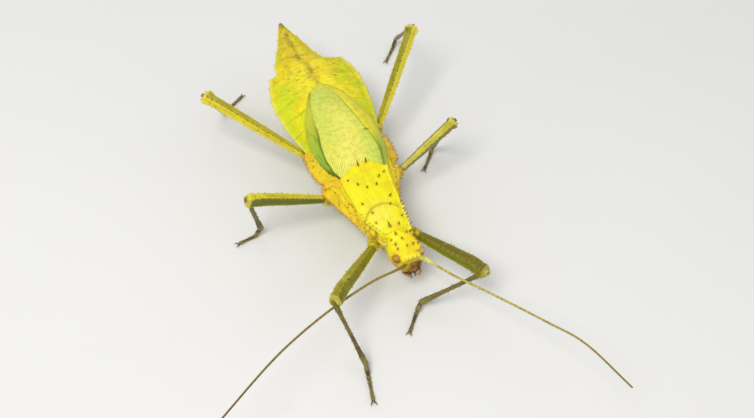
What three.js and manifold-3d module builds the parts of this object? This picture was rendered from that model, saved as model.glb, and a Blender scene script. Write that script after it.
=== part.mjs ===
// Adult female jungle nymph, a large stick insect, as a life-size still model standing on six feet.
// Millimetres, +Z up. The insect faces -Y, its left side is +X, and the floor is Z = 0.
// Each body part is one closed solid, with a thin gap to its neighbours.

import * as THREE from 'three';
import * as BufferGeometryUtils from 'three/addons/utils/BufferGeometryUtils.js';
import Module from 'manifold-3d';

const wasm = await Module();
wasm.setup();

// ---------------------------------------------------------------- driving dimensions

const GAP = 0.3; // gap between neighbouring parts
const TRUNK_SIDES = 16;
const LIMB_SIDES = 10;

// Stations along the body, as Y.
const HEAD_FRONT = -43.8;
const BROW = -42;
const NECK = -33.1;
const PRONOTUM_REAR = -22.4;
const MESONOTUM_REAR = -3.2;
const META_START = -7.5; // under the wing cases, where the mesonotum's corners bend forwards
const WAIST = 17.6; // thorax meets abdomen
const WIDEST = 45; // broadest point of the abdomen
const CORNER = 59.6; // the sixth tergite's rear corner, where the outline steps in
const TAIL = 86.9;

// The abdomen's segment borders between the waist and the tail.
const SEGMENT_ENDS = [25.5, 33.5, 41.5, 49, 55.5, CORNER, 66.5, 72.5, 78.5];
const EPIPROCT_START = SEGMENT_ENDS[SEGMENT_ENDS.length - 1];

// Half-widths and heights of the trunk.
const ABDOMEN_HALF = 19.7;
const WAIST_HALF = 15;
const MESO_HALF = 16; // flange over the middle coxae
const META_HALF = 17.3; // flange over the hind coxae
const NECK_HALF = 5.6;
const MARGIN_Z = 17.4; // height of the side edge at the waist
const ABDOMEN_PITCH = 0.14; // rise of the abdomen per millimetre
const RING_TURN = 0.075; // how far a point of an abdominal ring moves back per millimetre to the left
const THORAX_PITCH = 0.12; // fall of the thorax per millimetre, towards the head
const NOTUM_Z = 27.7; // rear edge of the mesonotum
const NOTUM_PITCH = 0.165;
const NOTUM_CORNER = -16.2; // bends the notum's rear corners forwards
const EDGE_SWEEP = 2.4; // carries the rear ends of the side edges backwards
const PRONOTUM_SWEEP = -3.6; // bends the pronotum's rear edge round the mesonotum
const LOBE_SWEEP = -1.8; // carries the pronotum's front lobes forwards beside the head
const THROAT_SWEEP = 2.6; // draws the lower front edge of the prothorax back

// Head.
const HEAD_HALF = 5.9;
const EYE_RADIUS = 1.6;
const EYE_HALF_SPACING = 4.75;

// Wing cases.
const TEGMEN_START = -6;
const TEGMEN_END = 43.9;
const TEGMEN_TOP = 29.6;

// The left case lies over the right one as far as this line, given as [x, y].
const TEGMEN_SEAM = [
  [-8.6, -9], [-10.1, -3], [-11.1, 2], [-11.6, 6], [-11.3, 11], [-10.3, 16.5],
  [-9.7, 22], [-8.7, 27.5], [-7.6, 32.6], [-5.6, 38], [-3, 46],
];

const COLOURS = {
  body: '#e8de1f',
  pleura: '#e0b92a',
  abdomen: '#c9cf35',
  tegmen: '#a9cf63',
  leg: '#b3b53a',
  shin: '#8b8a3c',
  foot: '#77703a',
  eye: '#6d4b2a',
  mouth: '#8a6a3a',
  feeler: '#b5a352',
};

// ---------------------------------------------------------------- small helpers

const v3 = (x, y, z) => new THREE.Vector3(x, y, z);
const lerp = THREE.MathUtils.lerp;
const clamp = THREE.MathUtils.clamp;

// Smooth step from 0 at a to 1 at b, where b may be less than a.
function ease(x, a, b) {
  const t = clamp((x - a) / (b - a), 0, 1);
  return t * t * (3 - 2 * t);
}

// Straight ramp from 0 at a to 1 at b.
function ramp(x, a, b) {
  return clamp((x - a) / (b - a), 0, 1);
}

function weld(geometry) {
  const bare = geometry.clone();
  bare.deleteAttribute('normal');
  bare.deleteAttribute('uv');
  return BufferGeometryUtils.mergeVertices(bare, 1e-4);
}

function toSolid(geometry) {
  const bare = weld(geometry);
  return new wasm.Manifold(new wasm.Mesh({
    numProp: 3,
    vertProperties: new Float32Array(bare.attributes.position.array),
    triVerts: new Uint32Array(bare.index.array),
  }));
}

function toGeometry(solid) {
  const mesh = solid.getMesh();
  const geometry = new THREE.BufferGeometry();
  geometry.setAttribute('position', new THREE.BufferAttribute(mesh.vertProperties, 3));
  geometry.setIndex(new THREE.BufferAttribute(mesh.triVerts, 1));
  return geometry;
}

// The largest of the bodies that a cut leaves.
function largest(solid) {
  return solid.decompose().sort((a, b) => b.volume() - a.volume())[0];
}

// A closed tube: a cylinder whose surface is moved by place(angle, t), with t from 0 to 1 along it.
// Angle 0 is the top and the angle grows towards +X for a tube that runs along +Y.
function tube(place, sides, rings) {
  const geometry = weld(new THREE.CylinderGeometry(1, 1, 1, sides, rings));
  const position = geometry.attributes.position;
  const step = (2 * Math.PI) / sides;
  for (let i = 0; i < position.count; i += 1) {
    const t = position.getY(i) + 0.5;
    const onAxis = Math.hypot(position.getX(i), position.getZ(i)) < 0.5;
    let point = v3(0, 0, 0);
    if (onAxis) {
      for (let k = 0; k < sides; k += 1) point.add(place(k * step - Math.PI, t));
      point.divideScalar(sides);
    } else {
      point = place(Math.atan2(position.getX(i), position.getZ(i)), t);
    }
    position.setXYZ(i, point.x, point.y, point.z);
  }
  return toSolid(geometry);
}

// A pointed thorn that stands on a surface point.
function thorn(root, direction, length, radius) {
  const cone = new THREE.ConeGeometry(radius, length, 3);
  cone.translate(0, length / 2, 0);
  const aim = direction.clone().normalize();
  cone.applyQuaternion(new THREE.Quaternion().setFromUnitVectors(v3(0, 1, 0), aim));
  const foot = root.clone().addScaledVector(aim, -0.35 * length);
  cone.translate(foot.x, foot.y, foot.z);
  return toSolid(cone);
}

function joinAll(solid, extras) {
  return extras.reduce((sum, extra) => sum.add(extra), solid);
}

const model = new THREE.Group();

function addPart(name, solid, colour, roughness = 0.6) {
  const material = new THREE.MeshStandardMaterial({ color: colour, roughness, metalness: 0 });
  const mesh = new THREE.Mesh(toGeometry(solid), material);
  mesh.name = name;
  model.add(mesh);
}

// ---------------------------------------------------------------- trunk shape

// The body's middle line bends a little sideways: the head to the left, the tail to the right.
function middleX(y) {
  const tail = 0.6 * ease(y, 68, 76) - 2.5 * ease(y, 57.5, 65);
  return tail - 1.45 * ease(y, 5, -12) + 3.75 * ease(y, -22, -43);
}

function marginZ(y) {
  if (y > WAIST) return MARGIN_Z + ABDOMEN_PITCH * (y - WAIST);
  return MARGIN_Z - THORAX_PITCH * Math.max(0, -5 - y);
}

// The abdomen's rings turn a little, so that their left ends lie further back than their right ends.
function ringTurn(y) {
  return RING_TURN * ease(y, 24, 50) * ease(y, TAIL, 66);
}

function abdomenHalf(y) {
  if (y <= CORNER) {
    const drop = y < WIDEST ? (WIDEST - y) / (WIDEST - WAIST) : (y - WIDEST) / (CORNER - WIDEST);
    const fall = y < WIDEST ? ABDOMEN_HALF - WAIST_HALF : 3.9;
    return ABDOMEN_HALF - fall * drop * drop;
  }
  return lerp(12.4, 0.7, Math.pow(ramp(y, CORNER, TAIL), 0.88));
}

function thoraxHalf(y) {
  if (y > 0) return META_HALF - 2.2 * Math.pow(Math.abs(y - 10) / 10, 2);
  if (y > -4.5) return lerp(15, MESO_HALF, -y / 4.5);
  if (y > PRONOTUM_REAR) return lerp(MESO_HALF, 8.3, Math.pow(ramp(y, -4.5, PRONOTUM_REAR), 0.85));
  return lerp(8, NECK_HALF, ramp(y, PRONOTUM_REAR, NECK));
}

function trunkHalf(y) {
  return y > WAIST ? abdomenHalf(y) : thoraxHalf(y);
}

function notumTop(y) {
  return NOTUM_Z + NOTUM_PITCH * (y - MESONOTUM_REAR);
}

// The back under the wing cases lies lower than the mesonotum in front of it.
function backTop(y) {
  if (y > CORNER) return marginZ(y) + lerp(3.4, 0.7, ramp(y, CORNER, TAIL));
  return marginZ(y) + lerp(7.2, 9, ramp(y, META_START, WAIST)) - 5.6 * ramp(y, WAIST, CORNER);
}

function trunkTop(y) {
  return y > MESONOTUM_REAR ? backTop(y) : notumTop(y);
}

function trunkBottom(y) {
  const taper = lerp(1, 0.35, ramp(y, 67, TAIL));
  if (y > 20) return marginZ(y) - 10.3 * taper * (1 - Math.pow((y - 34) / 71, 2));
  return lerp(7.6, 8, ramp(y, NECK, -20)) + 0.8 * ease(y, -20, 0);
}

// Half-width of the plate on the back, and how far its edge lies below its crown.
function plateHalf(y) {
  if (y > WAIST) return lerp(9.6, 0.45 * trunkHalf(y), ramp(y, WAIST, 40));
  if (y > MESONOTUM_REAR) return lerp(8.2, 9.6, ramp(y, MESONOTUM_REAR, WAIST));
  return y > PRONOTUM_REAR ? lerp(7.9, 9.2, ramp(y, PRONOTUM_REAR, -6)) : lerp(5.4, 7.9, ramp(y, NECK, -25));
}

function plateDrop(y) {
  return y > MESONOTUM_REAR ? 0.12 * (backTop(y) - marginZ(y)) : 1.5;
}

// A point of the trunk's ring at station y: plate, flank and belly are one curve each, and the
// flank ends in the side edge. grow makes the ring larger all round.
function trunkPoint(y, angle, grow = 0, topOf = trunkTop) {
  const turn = (4 * Math.abs(angle)) / Math.PI;
  const half = trunkHalf(y) + grow;
  const top = topOf(y) + grow;
  const bottom = trunkBottom(y) - grow;
  const crown = new THREE.Vector2(0, top);
  const plate = new THREE.Vector2(plateHalf(y) + 0.6 * grow, top - plateDrop(y));
  const edge = new THREE.Vector2(half, marginZ(y));
  const keel = new THREE.Vector2(0, bottom);
  let p;
  if (turn < 1) {
    p = new THREE.QuadraticBezierCurve(crown, new THREE.Vector2(0.6 * plate.x, top), plate).getPoint(turn);
  } else if (turn < 2) {
    const flank = plate.clone().lerp(edge, 0.5).add(new THREE.Vector2(0.3, 0.3));
    p = new THREE.QuadraticBezierCurve(plate, flank, edge).getPoint(turn - 1);
  } else {
    const belly = new THREE.Vector2(0.8 * half, bottom);
    p = new THREE.QuadraticBezierCurve(edge, belly, keel).getPoint(turn / 2 - 1);
  }
  const x = Math.sign(Math.sin(angle)) * p.x;
  return v3(middleX(y) + x, y + ringTurn(y) * x, p.y);
}

// A notum's rear edge bends forwards at the plate's corners and back again along the flanks. out is
// 0 on the middle line and 1 on the side edge.
function notumEdge(out) {
  return NOTUM_CORNER * out * out + (EDGE_SWEEP - NOTUM_CORNER) * Math.pow(out, 4);
}

const straight = () => 0;

// A slice of the trunk between two stations. flare widens its rear end, as tergites do. The front and
// rear faces are bent along Y by frontEdge and rearEdge, and topOf is the height of the back. Both
// edges are functions of the distance from the middle line (1 at the side edge) and of how far the
// point lies down the flank and belly (0 on the plate, 1 at the side edge and below).
function trunkSlice(start, end, rings, options = {}) {
  const { grow = 0, flare = 0, frontEdge = straight, rearEdge = straight, topOf = trunkTop } = options;
  return tube((angle, t) => {
    const y = lerp(start, end, t);
    const p = trunkPoint(y, angle, grow + flare * t * t, topOf);
    const out = clamp(Math.abs(p.x - middleX(y)) / trunkHalf(y), 0, 1);
    const low = clamp((4 * Math.abs(angle)) / Math.PI - 1, 0, 1);
    p.y += lerp(frontEdge(out, low), rearEdge(out, low), t);
    return p;
  }, TRUNK_SIDES, rings);
}

// Thorns in pairs on the top of the trunk: each entry is [y, distance from the middle, length].
function topThorns(entries) {
  const thorns = [];
  for (const [y, out, length] of entries) {
    for (const side of [-1, 1]) {
      const top = trunkTop(y) - plateDrop(y) * Math.pow(out / plateHalf(y), 2);
      const root = v3(middleX(y) + side * out, y, top - 0.1);
      thorns.push(thorn(root, v3(side * 0.25, 0.15, 1), length, 0.28 * length + 0.12));
    }
  }
  return thorns;
}

// Thorns that make the side edge of the trunk a saw between two stations. sweep is how far the
// edge is carried backwards at each of the two.
function edgeThorns(from, to, count, length, sweep = [0, 0]) {
  const thorns = [];
  for (let i = 0; i < count; i += 1) {
    const t = (i + 0.5) / count;
    const y = lerp(from, to, t);
    for (const side of [-1, 1]) {
      const root = v3(middleX(y) + side * (trunkHalf(y) - 0.3), y + lerp(...sweep, t), marginZ(y));
      thorns.push(thorn(root, v3(side, 0.1, 0.25), length, 0.42 * length));
    }
  }
  return thorns;
}

// ---------------------------------------------------------------- thorax

const MESO_THORNS = [[-4.2, 1.3, 2.1], [-12, 4.4, 1.6], [-15.2, 2, 1.5], [-19.6, 5.4, 1.5]];
const PRONOTUM_THORNS = [[-24.6, 4, 1.2], [-31.4, 1.5, 1.5]];

const pronotumRear = (out) => PRONOTUM_SWEEP * out * out;
const neckEdge = (out, low) => lerp(LOBE_SWEEP * out * out, THROAT_SWEEP, low);
const PRO_EDGES = { frontEdge: neckEdge, rearEdge: pronotumRear };
const MESO_EDGES = { frontEdge: pronotumRear, rearEdge: notumEdge, topOf: notumTop };
const proRoom = trunkSlice(NECK - GAP, PRONOTUM_REAR, 4, { ...PRO_EDGES, grow: GAP });
const mesoRoom = trunkSlice(PRONOTUM_REAR, MESONOTUM_REAR + GAP, 6, { ...MESO_EDGES, grow: GAP });

// Thorns are left out where a limb passes: limbRoom is the space that the limbs take.
function withThorns(solid, thorns, limbRoom) {
  return joinAll(solid, thorns.map((one) => one.subtract(limbRoom)));
}

function prothoraxSolid(limbRoom) {
  const thorns = [
    ...topThorns(PRONOTUM_THORNS),
    ...edgeThorns(NECK, PRONOTUM_REAR, 4, 1, [THROAT_SWEEP, PRONOTUM_SWEEP])];
  return withThorns(trunkSlice(NECK, PRONOTUM_REAR, 4, PRO_EDGES), thorns, limbRoom);
}

function mesothoraxSolid(limbRoom) {
  const thorns = [
    ...topThorns(MESO_THORNS),
    ...edgeThorns(PRONOTUM_REAR, MESONOTUM_REAR, 7, 1.2, [PRONOTUM_SWEEP, EDGE_SWEEP])];
  return withThorns(trunkSlice(PRONOTUM_REAR + GAP, MESONOTUM_REAR, 6, MESO_EDGES), thorns, limbRoom);
}

function metathoraxSolid(limbRoom) {
  const slice = trunkSlice(META_START, WAIST - GAP, 7, { topOf: backTop }).subtract(mesoRoom);
  return withThorns(slice, edgeThorns(1.5, WAIST - 3, 5, 1.2), limbRoom);
}

// ---------------------------------------------------------------- abdomen

function abdomenSegments(limbRoom) {
  const segments = [];
  let start = WAIST;
  for (const end of SEGMENT_ENDS) {
    const y = end - 1.1;
    const thorns = [];
    for (const side of [-1, 1]) {
      const edge = side * (trunkHalf(y) - 0.2);
      const onEdge = v3(middleX(y) + edge, y + ringTurn(y) * edge, marginZ(y));
      thorns.push(thorn(onEdge, v3(side, 0.6, 0), 0.9, 0.4));
      const out = 0.3 * side * trunkHalf(y);
      const onBack = v3(middleX(y) + out, y + ringTurn(y) * out, trunkTop(y) - 0.45);
      thorns.push(thorn(onBack, v3(0, 0.4, 1), 0.8, 0.3));
    }
    const slice = trunkSlice(start, end - GAP, 2, { flare: 0.25 });
    segments.push(withThorns(slice, thorns, limbRoom));
    start = end;
  }
  return segments;
}

// The last tergite is the upper half of the beak, and the plate below is its lower half.
function beakUpper() {
  return trunkSlice(EPIPROCT_START, TAIL, 4);
}

function beakLower() {
  const start = SEGMENT_ENDS[SEGMENT_ENDS.length - 3];
  const end = TAIL + 0.6;
  const scoop = tube((angle, t) => {
    const y = lerp(start, end, t);
    const half = lerp(7, 0.6, Math.pow(t, 1.4));
    const depth = lerp(2.6, 1, t);
    const z = trunkBottom(Math.min(y, TAIL)) + 0.2;
    return v3(middleX(y) + half * Math.sin(angle), y, z + depth * (Math.cos(angle) - 0.3));
  }, 12, 5);
  return largest(scoop.subtract(trunkSlice(start - 4, TAIL + 2, 10, { grow: GAP + 0.1 })));
}

// ---------------------------------------------------------------- wing cases

// Both cases together are a low vault that hugs the back from the waist of the mesonotum to the tip.
// Half-widths of the two cases together, as [station, half-width].
const TEGMEN_WIDTHS = [[-6, 9.4], [-3, 10.5], [0, 11.6], [3, 12.8], [7, 13.6], [12, 14.1], [17, 14.3],
  [22, 13.8], [27, 12.4], [31, 10.7], [34, 9.1], [37, 7.7], [40, 5.7], [42.5, 3.4], [TEGMEN_END, 0.6]];

function tegmenHalf(y) {
  const last = TEGMEN_WIDTHS.length - 1;
  let k = 1;
  while (k < last && TEGMEN_WIDTHS[k][0] < y) k += 1;
  const [[y0, width0], [y1, width1]] = [TEGMEN_WIDTHS[k - 1], TEGMEN_WIDTHS[k]];
  return lerp(width0, width1, ramp(y, y0, y1));
}

function tegmenVault() {
  return tube((angle, t) => {
    const y = lerp(TEGMEN_START, TEGMEN_END, t);
    const half = tegmenHalf(y);
    const rise = 2.4 * Math.pow(1 - ramp(y, MESONOTUM_REAR, 18), 1.6);
    const top = TEGMEN_TOP - rise - 3 * Math.pow(ramp(y, 20, TEGMEN_END), 2.2);
    const edgeZ = lerp(19.4, top - 1.6, Math.pow(ramp(y, 0, TEGMEN_END), 1.3));
    const edge = new THREE.Vector2(half, edgeZ);
    const turn = Math.abs(angle) / Math.PI;
    const upper = new THREE.QuadraticBezierCurve(
      new THREE.Vector2(0, top), new THREE.Vector2(0.9 * half, top + 0.3), edge);
    const floor = edgeZ - 3;
    const lower = new THREE.QuadraticBezierCurve(
      edge, new THREE.Vector2(0.9 * half, floor), new THREE.Vector2(0, floor));
    const p = turn < 0.5 ? upper.getPoint(2 * turn) : lower.getPoint(2 * turn - 1);
    return v3(Math.sign(Math.sin(angle)) * p.x, y, p.y);
  }, 16, 9);
}

// A block whose one side follows the seam, moved by offset, and whose other side is the plane x = far.
function seamBlock(offset, far) {
  const seam = new THREE.SplineCurve(TEGMEN_SEAM.map(([x, y]) => new THREE.Vector2(x + offset, y)));
  const outline = seam.getPoints(16);
  const shape = new THREE.Shape([
    ...outline, new THREE.Vector2(far, outline[16].y), new THREE.Vector2(far, outline[0].y)]);
  return toSolid(new THREE.ExtrudeGeometry(shape, { depth: 40, bevelEnabled: false }));
}

const trunkRoom = trunkSlice(META_START, WAIST, 6, { grow: GAP + 0.1, topOf: backTop })
  .add(trunkSlice(WAIST - 0.2, 60, 8, { grow: GAP + 0.35 }))
  .add(mesoRoom);
const tegmina = tegmenVault().subtract(trunkRoom);
const tegmenLeft = largest(tegmina.subtract(seamBlock(0, -40)));
const tegmenRight = largest(tegmina.subtract(seamBlock(-GAP, 40)));

// ---------------------------------------------------------------- head

// The head is a rounded box: the crown falls forwards to a brow, and the face drops from there.
// t runs from the neck to the brow at BROW_T, and on to the mouth.
const BROW_T = 5 / 6;

function headPoint(angle, t, grow = 0) {
  const y = t < BROW_T
    ? lerp(NECK - GAP, BROW, t / BROW_T) : lerp(BROW, HEAD_FRONT - grow, ramp(t, BROW_T, 1));
  const half = HEAD_HALF * lerp(0.84, 1, ease(t, 0, 0.4)) * lerp(1, 0.58, Math.pow(ramp(t, 0.5, 1), 1.4));
  const top = lerp(21.3, 15.7, Math.pow(ramp(t, 0, BROW_T), 1.5)) - 4 * ramp(t, BROW_T, 1);
  const bottom = lerp(9.6, 7.6, ease(t, 0, 0.6)) + 1.9 * ramp(t, 0.8, 1);
  const across = Math.sign(Math.sin(angle)) * Math.pow(Math.abs(Math.sin(angle)), 0.8);
  const rise = Math.sign(Math.cos(angle)) * Math.pow(Math.abs(Math.cos(angle)), 0.75);
  const height = (top - bottom) / 2 + grow;
  return v3(middleX(y) + (half + grow) * across, y, (top + bottom) / 2 + rise * height);
}

// The tube's own direction is towards -Y here, so its angle is turned round to keep the faces out.
function headSolid(grow = 0) {
  return tube((angle, t) => headPoint(-angle, t, grow), 16, 6);
}

const EYE_Y = -40.4;
const EYE_Z = 15;

function eyeCentre(side) {
  return v3(middleX(EYE_Y) + side * EYE_HALF_SPACING, EYE_Y, EYE_Z);
}

function eyeSolid(side, grow = 0) {
  const eye = new THREE.SphereGeometry(EYE_RADIUS + grow, 8, 6);
  const centre = eyeCentre(side);
  eye.translate(centre.x, centre.y, centre.z);
  return toSolid(eye);
}

// Each entry is [y, distance from the middle, length].
const HEAD_THORNS = [[-34.6, 2.2, 1.5], [-36.4, 0.9, 1], [-37.2, 3.2, 1.1], [-39, 2.6, 1], [-41.2, 3, 0.9]];

function headThorns() {
  const thorns = [];
  for (const [y, out, length] of HEAD_THORNS) {
    const t = BROW_T * ramp(y, NECK - GAP, BROW);
    for (const side of [-1, 1]) {
      const surface = headPoint(Math.asin(Math.pow(out / HEAD_HALF, 1.25)), t);
      const root = v3(middleX(y) + side * out, y, surface.z - 0.1);
      thorns.push(thorn(root, v3(side * 0.4, 0.1, 1), length, 0.32 * length));
    }
  }
  return thorns;
}

// ---------------------------------------------------------------- mouthparts

const UP = v3(0, 0, 1);

// The direction from a to b, and the right and up that go with it.
function axes(from, to, upHint = UP) {
  const direction = to.clone().sub(from).normalize();
  const right = direction.clone().cross(upHint).normalize();
  return { direction, right, up: right.clone().cross(direction) };
}

// A limb-like tube between two points, with its rings at the given stations from 0 to 1. size(t)
// gives its half-width, its half-depth and how deep the grooves between its five ribs are.
function spindle(from, to, size, sides, stations, grow = 0, upHint = UP) {
  const along = to.clone().sub(from);
  const { right, up } = axes(from, to, upHint);
  const rings = stations.length - 1;
  return tube((angle, part) => {
    const t = stations[Math.round(part * rings)];
    const [wide, deep, ridge] = size(t);
    const ribbed = 1 - (ridge || 0) * (0.5 + 0.5 * Math.cos(5 * angle));
    return from.clone().addScaledVector(along, t)
      .addScaledVector(right, (wide * ribbed + grow) * Math.sin(angle))
      .addScaledVector(up, (deep * ribbed + grow) * Math.cos(angle));
  }, sides, rings);
}

function rounded(radius, power = 2.6) {
  return (t) => {
    const swell = Math.pow(Math.max(0.12, 1 - Math.pow(Math.abs(2 * t - 1), power)), 0.5);
    return [radius * swell, radius * swell];
  };
}

function mouthparts() {
  const x = middleX(HEAD_FRONT);
  const y = HEAD_FRONT;
  const parts = new Map();
  const lip = spindle(v3(x - 1.8, y - 0.7, 9.8), v3(x + 1.8, y - 0.7, 9.8), () => [0.6, 1], 8, [0, 1]);
  parts.set('labrum', lip);
  for (const [name, side] of [['left', 1], ['right', -1]]) {
    const jaw = spindle(v3(x + side * 0.35, y - 0.1, 7.7), v3(x + side * 2.3, y + 1.4, 6.9),
      rounded(0.8), 6, [0, 0.2, 0.8, 1]);
    parts.set(`mandible_${name}`, jaw);
    const bend = v3(x + side * 3, y - 1.3, 8.8);
    const upper = spindle(v3(x + side * 3.4, y + 1.8, 6.9), bend, rounded(0.5, 6), 6, [0, 0.2, 1]);
    const lower = spindle(bend, v3(x + side * 1.4, y - 2.2, 7.8), rounded(0.45, 6), 6, [0, 0.8, 1]);
    parts.set(`maxillary_palp_${name}`, upper.add(lower));
  }
  return parts;
}

// ---------------------------------------------------------------- antennae

const ANTENNA_ROUTES = {
  left: [v3(6.1, -42.3, 13.5), v3(7.9, -45.9, 14.4), v3(12.8, -55.7, 15.5), v3(20.9, -69.4, 17.5),
    v3(31, -86.7, 19.5), v3(37.6, -98.9, 20.5), v3(42.2, -118, 21)],
  right: [v3(-0.3, -42.7, 12.5), v3(-3.9, -44.4, 14), v3(-15.1, -46.8, 15.5), v3(-31.5, -53, 18),
    v3(-47.4, -60.8, 20.5), v3(-60.2, -68.7, 22.5), v3(-81, -83.4, 25)],
};
const ANTENNA_SPLITS = [0, 0.12, 0.5, 1];
const ANTENNA_LENGTHS = ['base', 'inner', 'outer'];
const ANTENNA_ROOT_RADIUS = 0.85;
const ANTENNA_RADIUS = 0.5;
const ANTENNA_TIP_RADIUS = 0.3;

function antennaRadius(u) {
  const thin = lerp(ANTENNA_RADIUS, ANTENNA_TIP_RADIUS, u);
  return lerp(ANTENNA_ROOT_RADIUS, thin, ease(u, 0.03, 0.11));
}

function antennaLength(side, piece) {
  const curve = new THREE.CatmullRomCurve3(ANTENNA_ROUTES[side]);
  const total = curve.getLength();
  const start = ANTENNA_SPLITS[piece] + (piece ? GAP / total : 0);
  const end = ANTENNA_SPLITS[piece + 1];
  return tube((angle, t) => {
    const u = lerp(start, end, t);
    const direction = curve.getTangentAt(u);
    const right = direction.clone().cross(v3(0, 0, 1)).normalize();
    const up = right.clone().cross(direction);
    const radius = antennaRadius(u);
    return curve.getPointAt(u)
      .addScaledVector(right, radius * Math.sin(angle))
      .addScaledVector(up, radius * Math.cos(angle));
  }, 6, piece === 0 ? 4 : 8);
}

// ---------------------------------------------------------------- legs

// Joints of each leg, and the half-width and half-depth of its thigh and shin.
const LEGS = {
  front_left: { hip: v3(4.5, -26, 12.2), thigh: v3(9, -33.4, 14.6), knee: v3(23, -60, 18.4),
    ankle: v3(0.5, -53.6, 2.7), toe: v3(-6.8, -62, 0.8), femur: [1.7, 2.5], tibia: [1, 1.3] },
  front_right: { hip: v3(-5.2, -25.5, 12.2), thigh: v3(-8.2, -32.6, 14.8), knee: v3(-31, -52.6, 21.5),
    ankle: v3(-26.2, -69.2, 2.7), toe: v3(-28.9, -81.4, 0.8), femur: [1.7, 2.5], tibia: [1, 1.3] },
  mid_left: { hip: v3(10.5, -4, 13.6), thigh: v3(15.6, -2.3, 15), knee: v3(40.6, 2.8, 27.8),
    ankle: v3(38.2, 14.6, 2.7), toe: v3(30.8, 6.4, 0.8), femur: [1.85, 3.1], tibia: [1.1, 1.4] },
  mid_right: { hip: v3(-11, -4, 13.6), thigh: v3(-16.4, -4.8, 15), knee: v3(-45, -3.8, 26.8),
    ankle: v3(-41, 0.7, 2.7), toe: v3(-50.6, -1, 0.8), femur: [1.85, 3.1], tibia: [1.1, 1.4] },
  hind_left: { hip: v3(11.5, 13, 13.4), thigh: v3(16.6, 22, 15.6), knee: v3(47.3, 56.4, 32.8),
    ankle: v3(53.2, 86.4, 2.7), toe: v3(43.6, 75.4, 0.8), femur: [1.9, 2.8], tibia: [1.2, 1.5] },
  hind_right: { hip: v3(-11, 12, 13.4), thigh: v3(-15.2, 18.6, 15.2), knee: v3(-45.2, 51, 30.8),
    ankle: v3(-36.5, 70.5, 2.7), toe: v3(-25.4, 78.4, 0.8), femur: [1.9, 2.8], tibia: [1.2, 1.5] },
};

// The thigh is ribbed, a little slimmer at its root and swollen at the knee.
function femurSize([wide, deep]) {
  return (t) => {
    const swell = 0.78 + 0.2 * ease(t, 0, 0.35) + 0.2 * ease(t, 0.86, 0.97) - 0.35 * ease(t, 0.98, 1);
    return [wide * swell, deep * swell, 0.14];
  };
}

function tibiaSize([wide, deep]) {
  return (t) => {
    const swell = 1 - 0.25 * ease(t, 0.05, 0.4) + 0.15 * ease(t, 0.85, 1);
    return [wide * swell, deep * swell, 0.1];
  };
}

// Thigh and shin lie in one plane, and the back of each is its outer side in that plane.
function thighUp(leg) {
  return leg.knee.clone().sub(leg.ankle);
}

function shinUp(leg) {
  return leg.knee.clone().sub(leg.thigh);
}

const FEMUR_STATIONS = [0, 0.4, 0.86, 0.96, 1];
const TIBIA_STATIONS = [0, 0.12, 0.85, 1];

function femurSolid(leg, grow = 0) {
  return spindle(leg.thigh, leg.knee, femurSize(leg.femur), LIMB_SIDES, FEMUR_STATIONS, grow, thighUp(leg));
}

// Thorns in pairs along the back of a limb, leaning towards its end.
function limbThorns(from, to, [wide, deep], places, length, upHint) {
  const along = to.clone().sub(from);
  const { direction, right, up } = axes(from, to, upHint);
  const thorns = [];
  for (const t of places) {
    for (const side of [-1, 1]) {
      const root = from.clone().addScaledVector(along, t)
        .addScaledVector(right, side * wide * 0.56).addScaledVector(up, deep * 0.76);
      const aim = up.clone().addScaledVector(right, side * 0.5).addScaledVector(direction, 0.5);
      thorns.push(thorn(root, aim, length, 0.38 * length));
    }
  }
  return thorns;
}

function coxaSolid(leg, grow = 0) {
  const size = (t) => {
    const swell = 1 - 0.25 * t;
    return [leg.femur[1] * swell, leg.femur[1] * swell * 1.05];
  };
  return spindle(leg.hip, leg.thigh, size, 8, [0, 1], grow);
}

// The foot steps down from the ankle and then runs on level along five joints to two claws. Each ring
// that comes near the floor is pressed flat on it.
const SOLE_Z = 0.62;
const STEP_RINGS = 2;
const SOLE_RINGS = 10;

function tarsusSolid(leg) {
  const heel = leg.ankle.clone().lerp(leg.toe, 0.06);
  const toe = leg.toe.clone().setZ(SOLE_Z);
  const direction = toe.clone().sub(heel).setZ(0).normalize();
  const across = direction.clone().cross(UP);
  const ground = heel.clone().addScaledVector(direction, 2.2).setZ(SOLE_Z);
  const slope = across.clone().cross(ground.clone().sub(heel)).normalize();
  const rings = STEP_RINGS + SOLE_RINGS;
  const foot = tube((angle, t) => {
    const ring = Math.round(t * rings);
    const step = ramp(ring, 0, STEP_RINGS);
    const walk = ramp(ring, STEP_RINGS, rings);
    const radius = lerp(0.95, 0.74, walk) * (ring % 2 ? 0.8 : 1);
    const up = slope.clone().lerp(UP, step).normalize();
    const point = heel.clone().lerp(ground, step).addScaledVector(toe.clone().sub(ground), walk)
      .addScaledVector(across, radius * Math.sin(angle + Math.PI / 6))
      .addScaledVector(up, radius * Math.cos(angle + Math.PI / 6));
    if (point.z < 0.16) point.z = 0;
    return point;
  }, 6, rings);
  const claws = [-1, 1].map((side) => {
    const root = toe.clone().addScaledVector(across, 0.35 * side).setZ(0.6);
    const aim = direction.clone().addScaledVector(across, 0.7 * side).setZ(-0.05);
    return thorn(root, aim, 1.8, 0.4);
  });
  return joinAll(foot, claws);
}

function tibiaSolid(leg) {
  const down = leg.ankle.clone().sub(leg.knee);
  const length = down.length();
  const end = leg.knee.clone().addScaledVector(down, (length - 1.5) / length);
  const shaft = spindle(leg.knee, end, tibiaSize(leg.tibia), LIMB_SIDES, TIBIA_STATIONS, 0, shinUp(leg));
  const thorns = limbThorns(leg.knee, end, leg.tibia, [0.35, 0.65], 0.9, shinUp(leg));
  return joinAll(shaft, thorns);
}

// ---------------------------------------------------------------- assembly

const trunkSpace = joinAll(proRoom, [
  mesoRoom,
  trunkSlice(META_START, WAIST, 7, { grow: GAP, topOf: backTop }),
  trunkSlice(WAIST - 0.2, 34, 4, { grow: GAP + 0.3 })]);
const headRoom = headSolid(GAP + 0.1);

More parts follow.
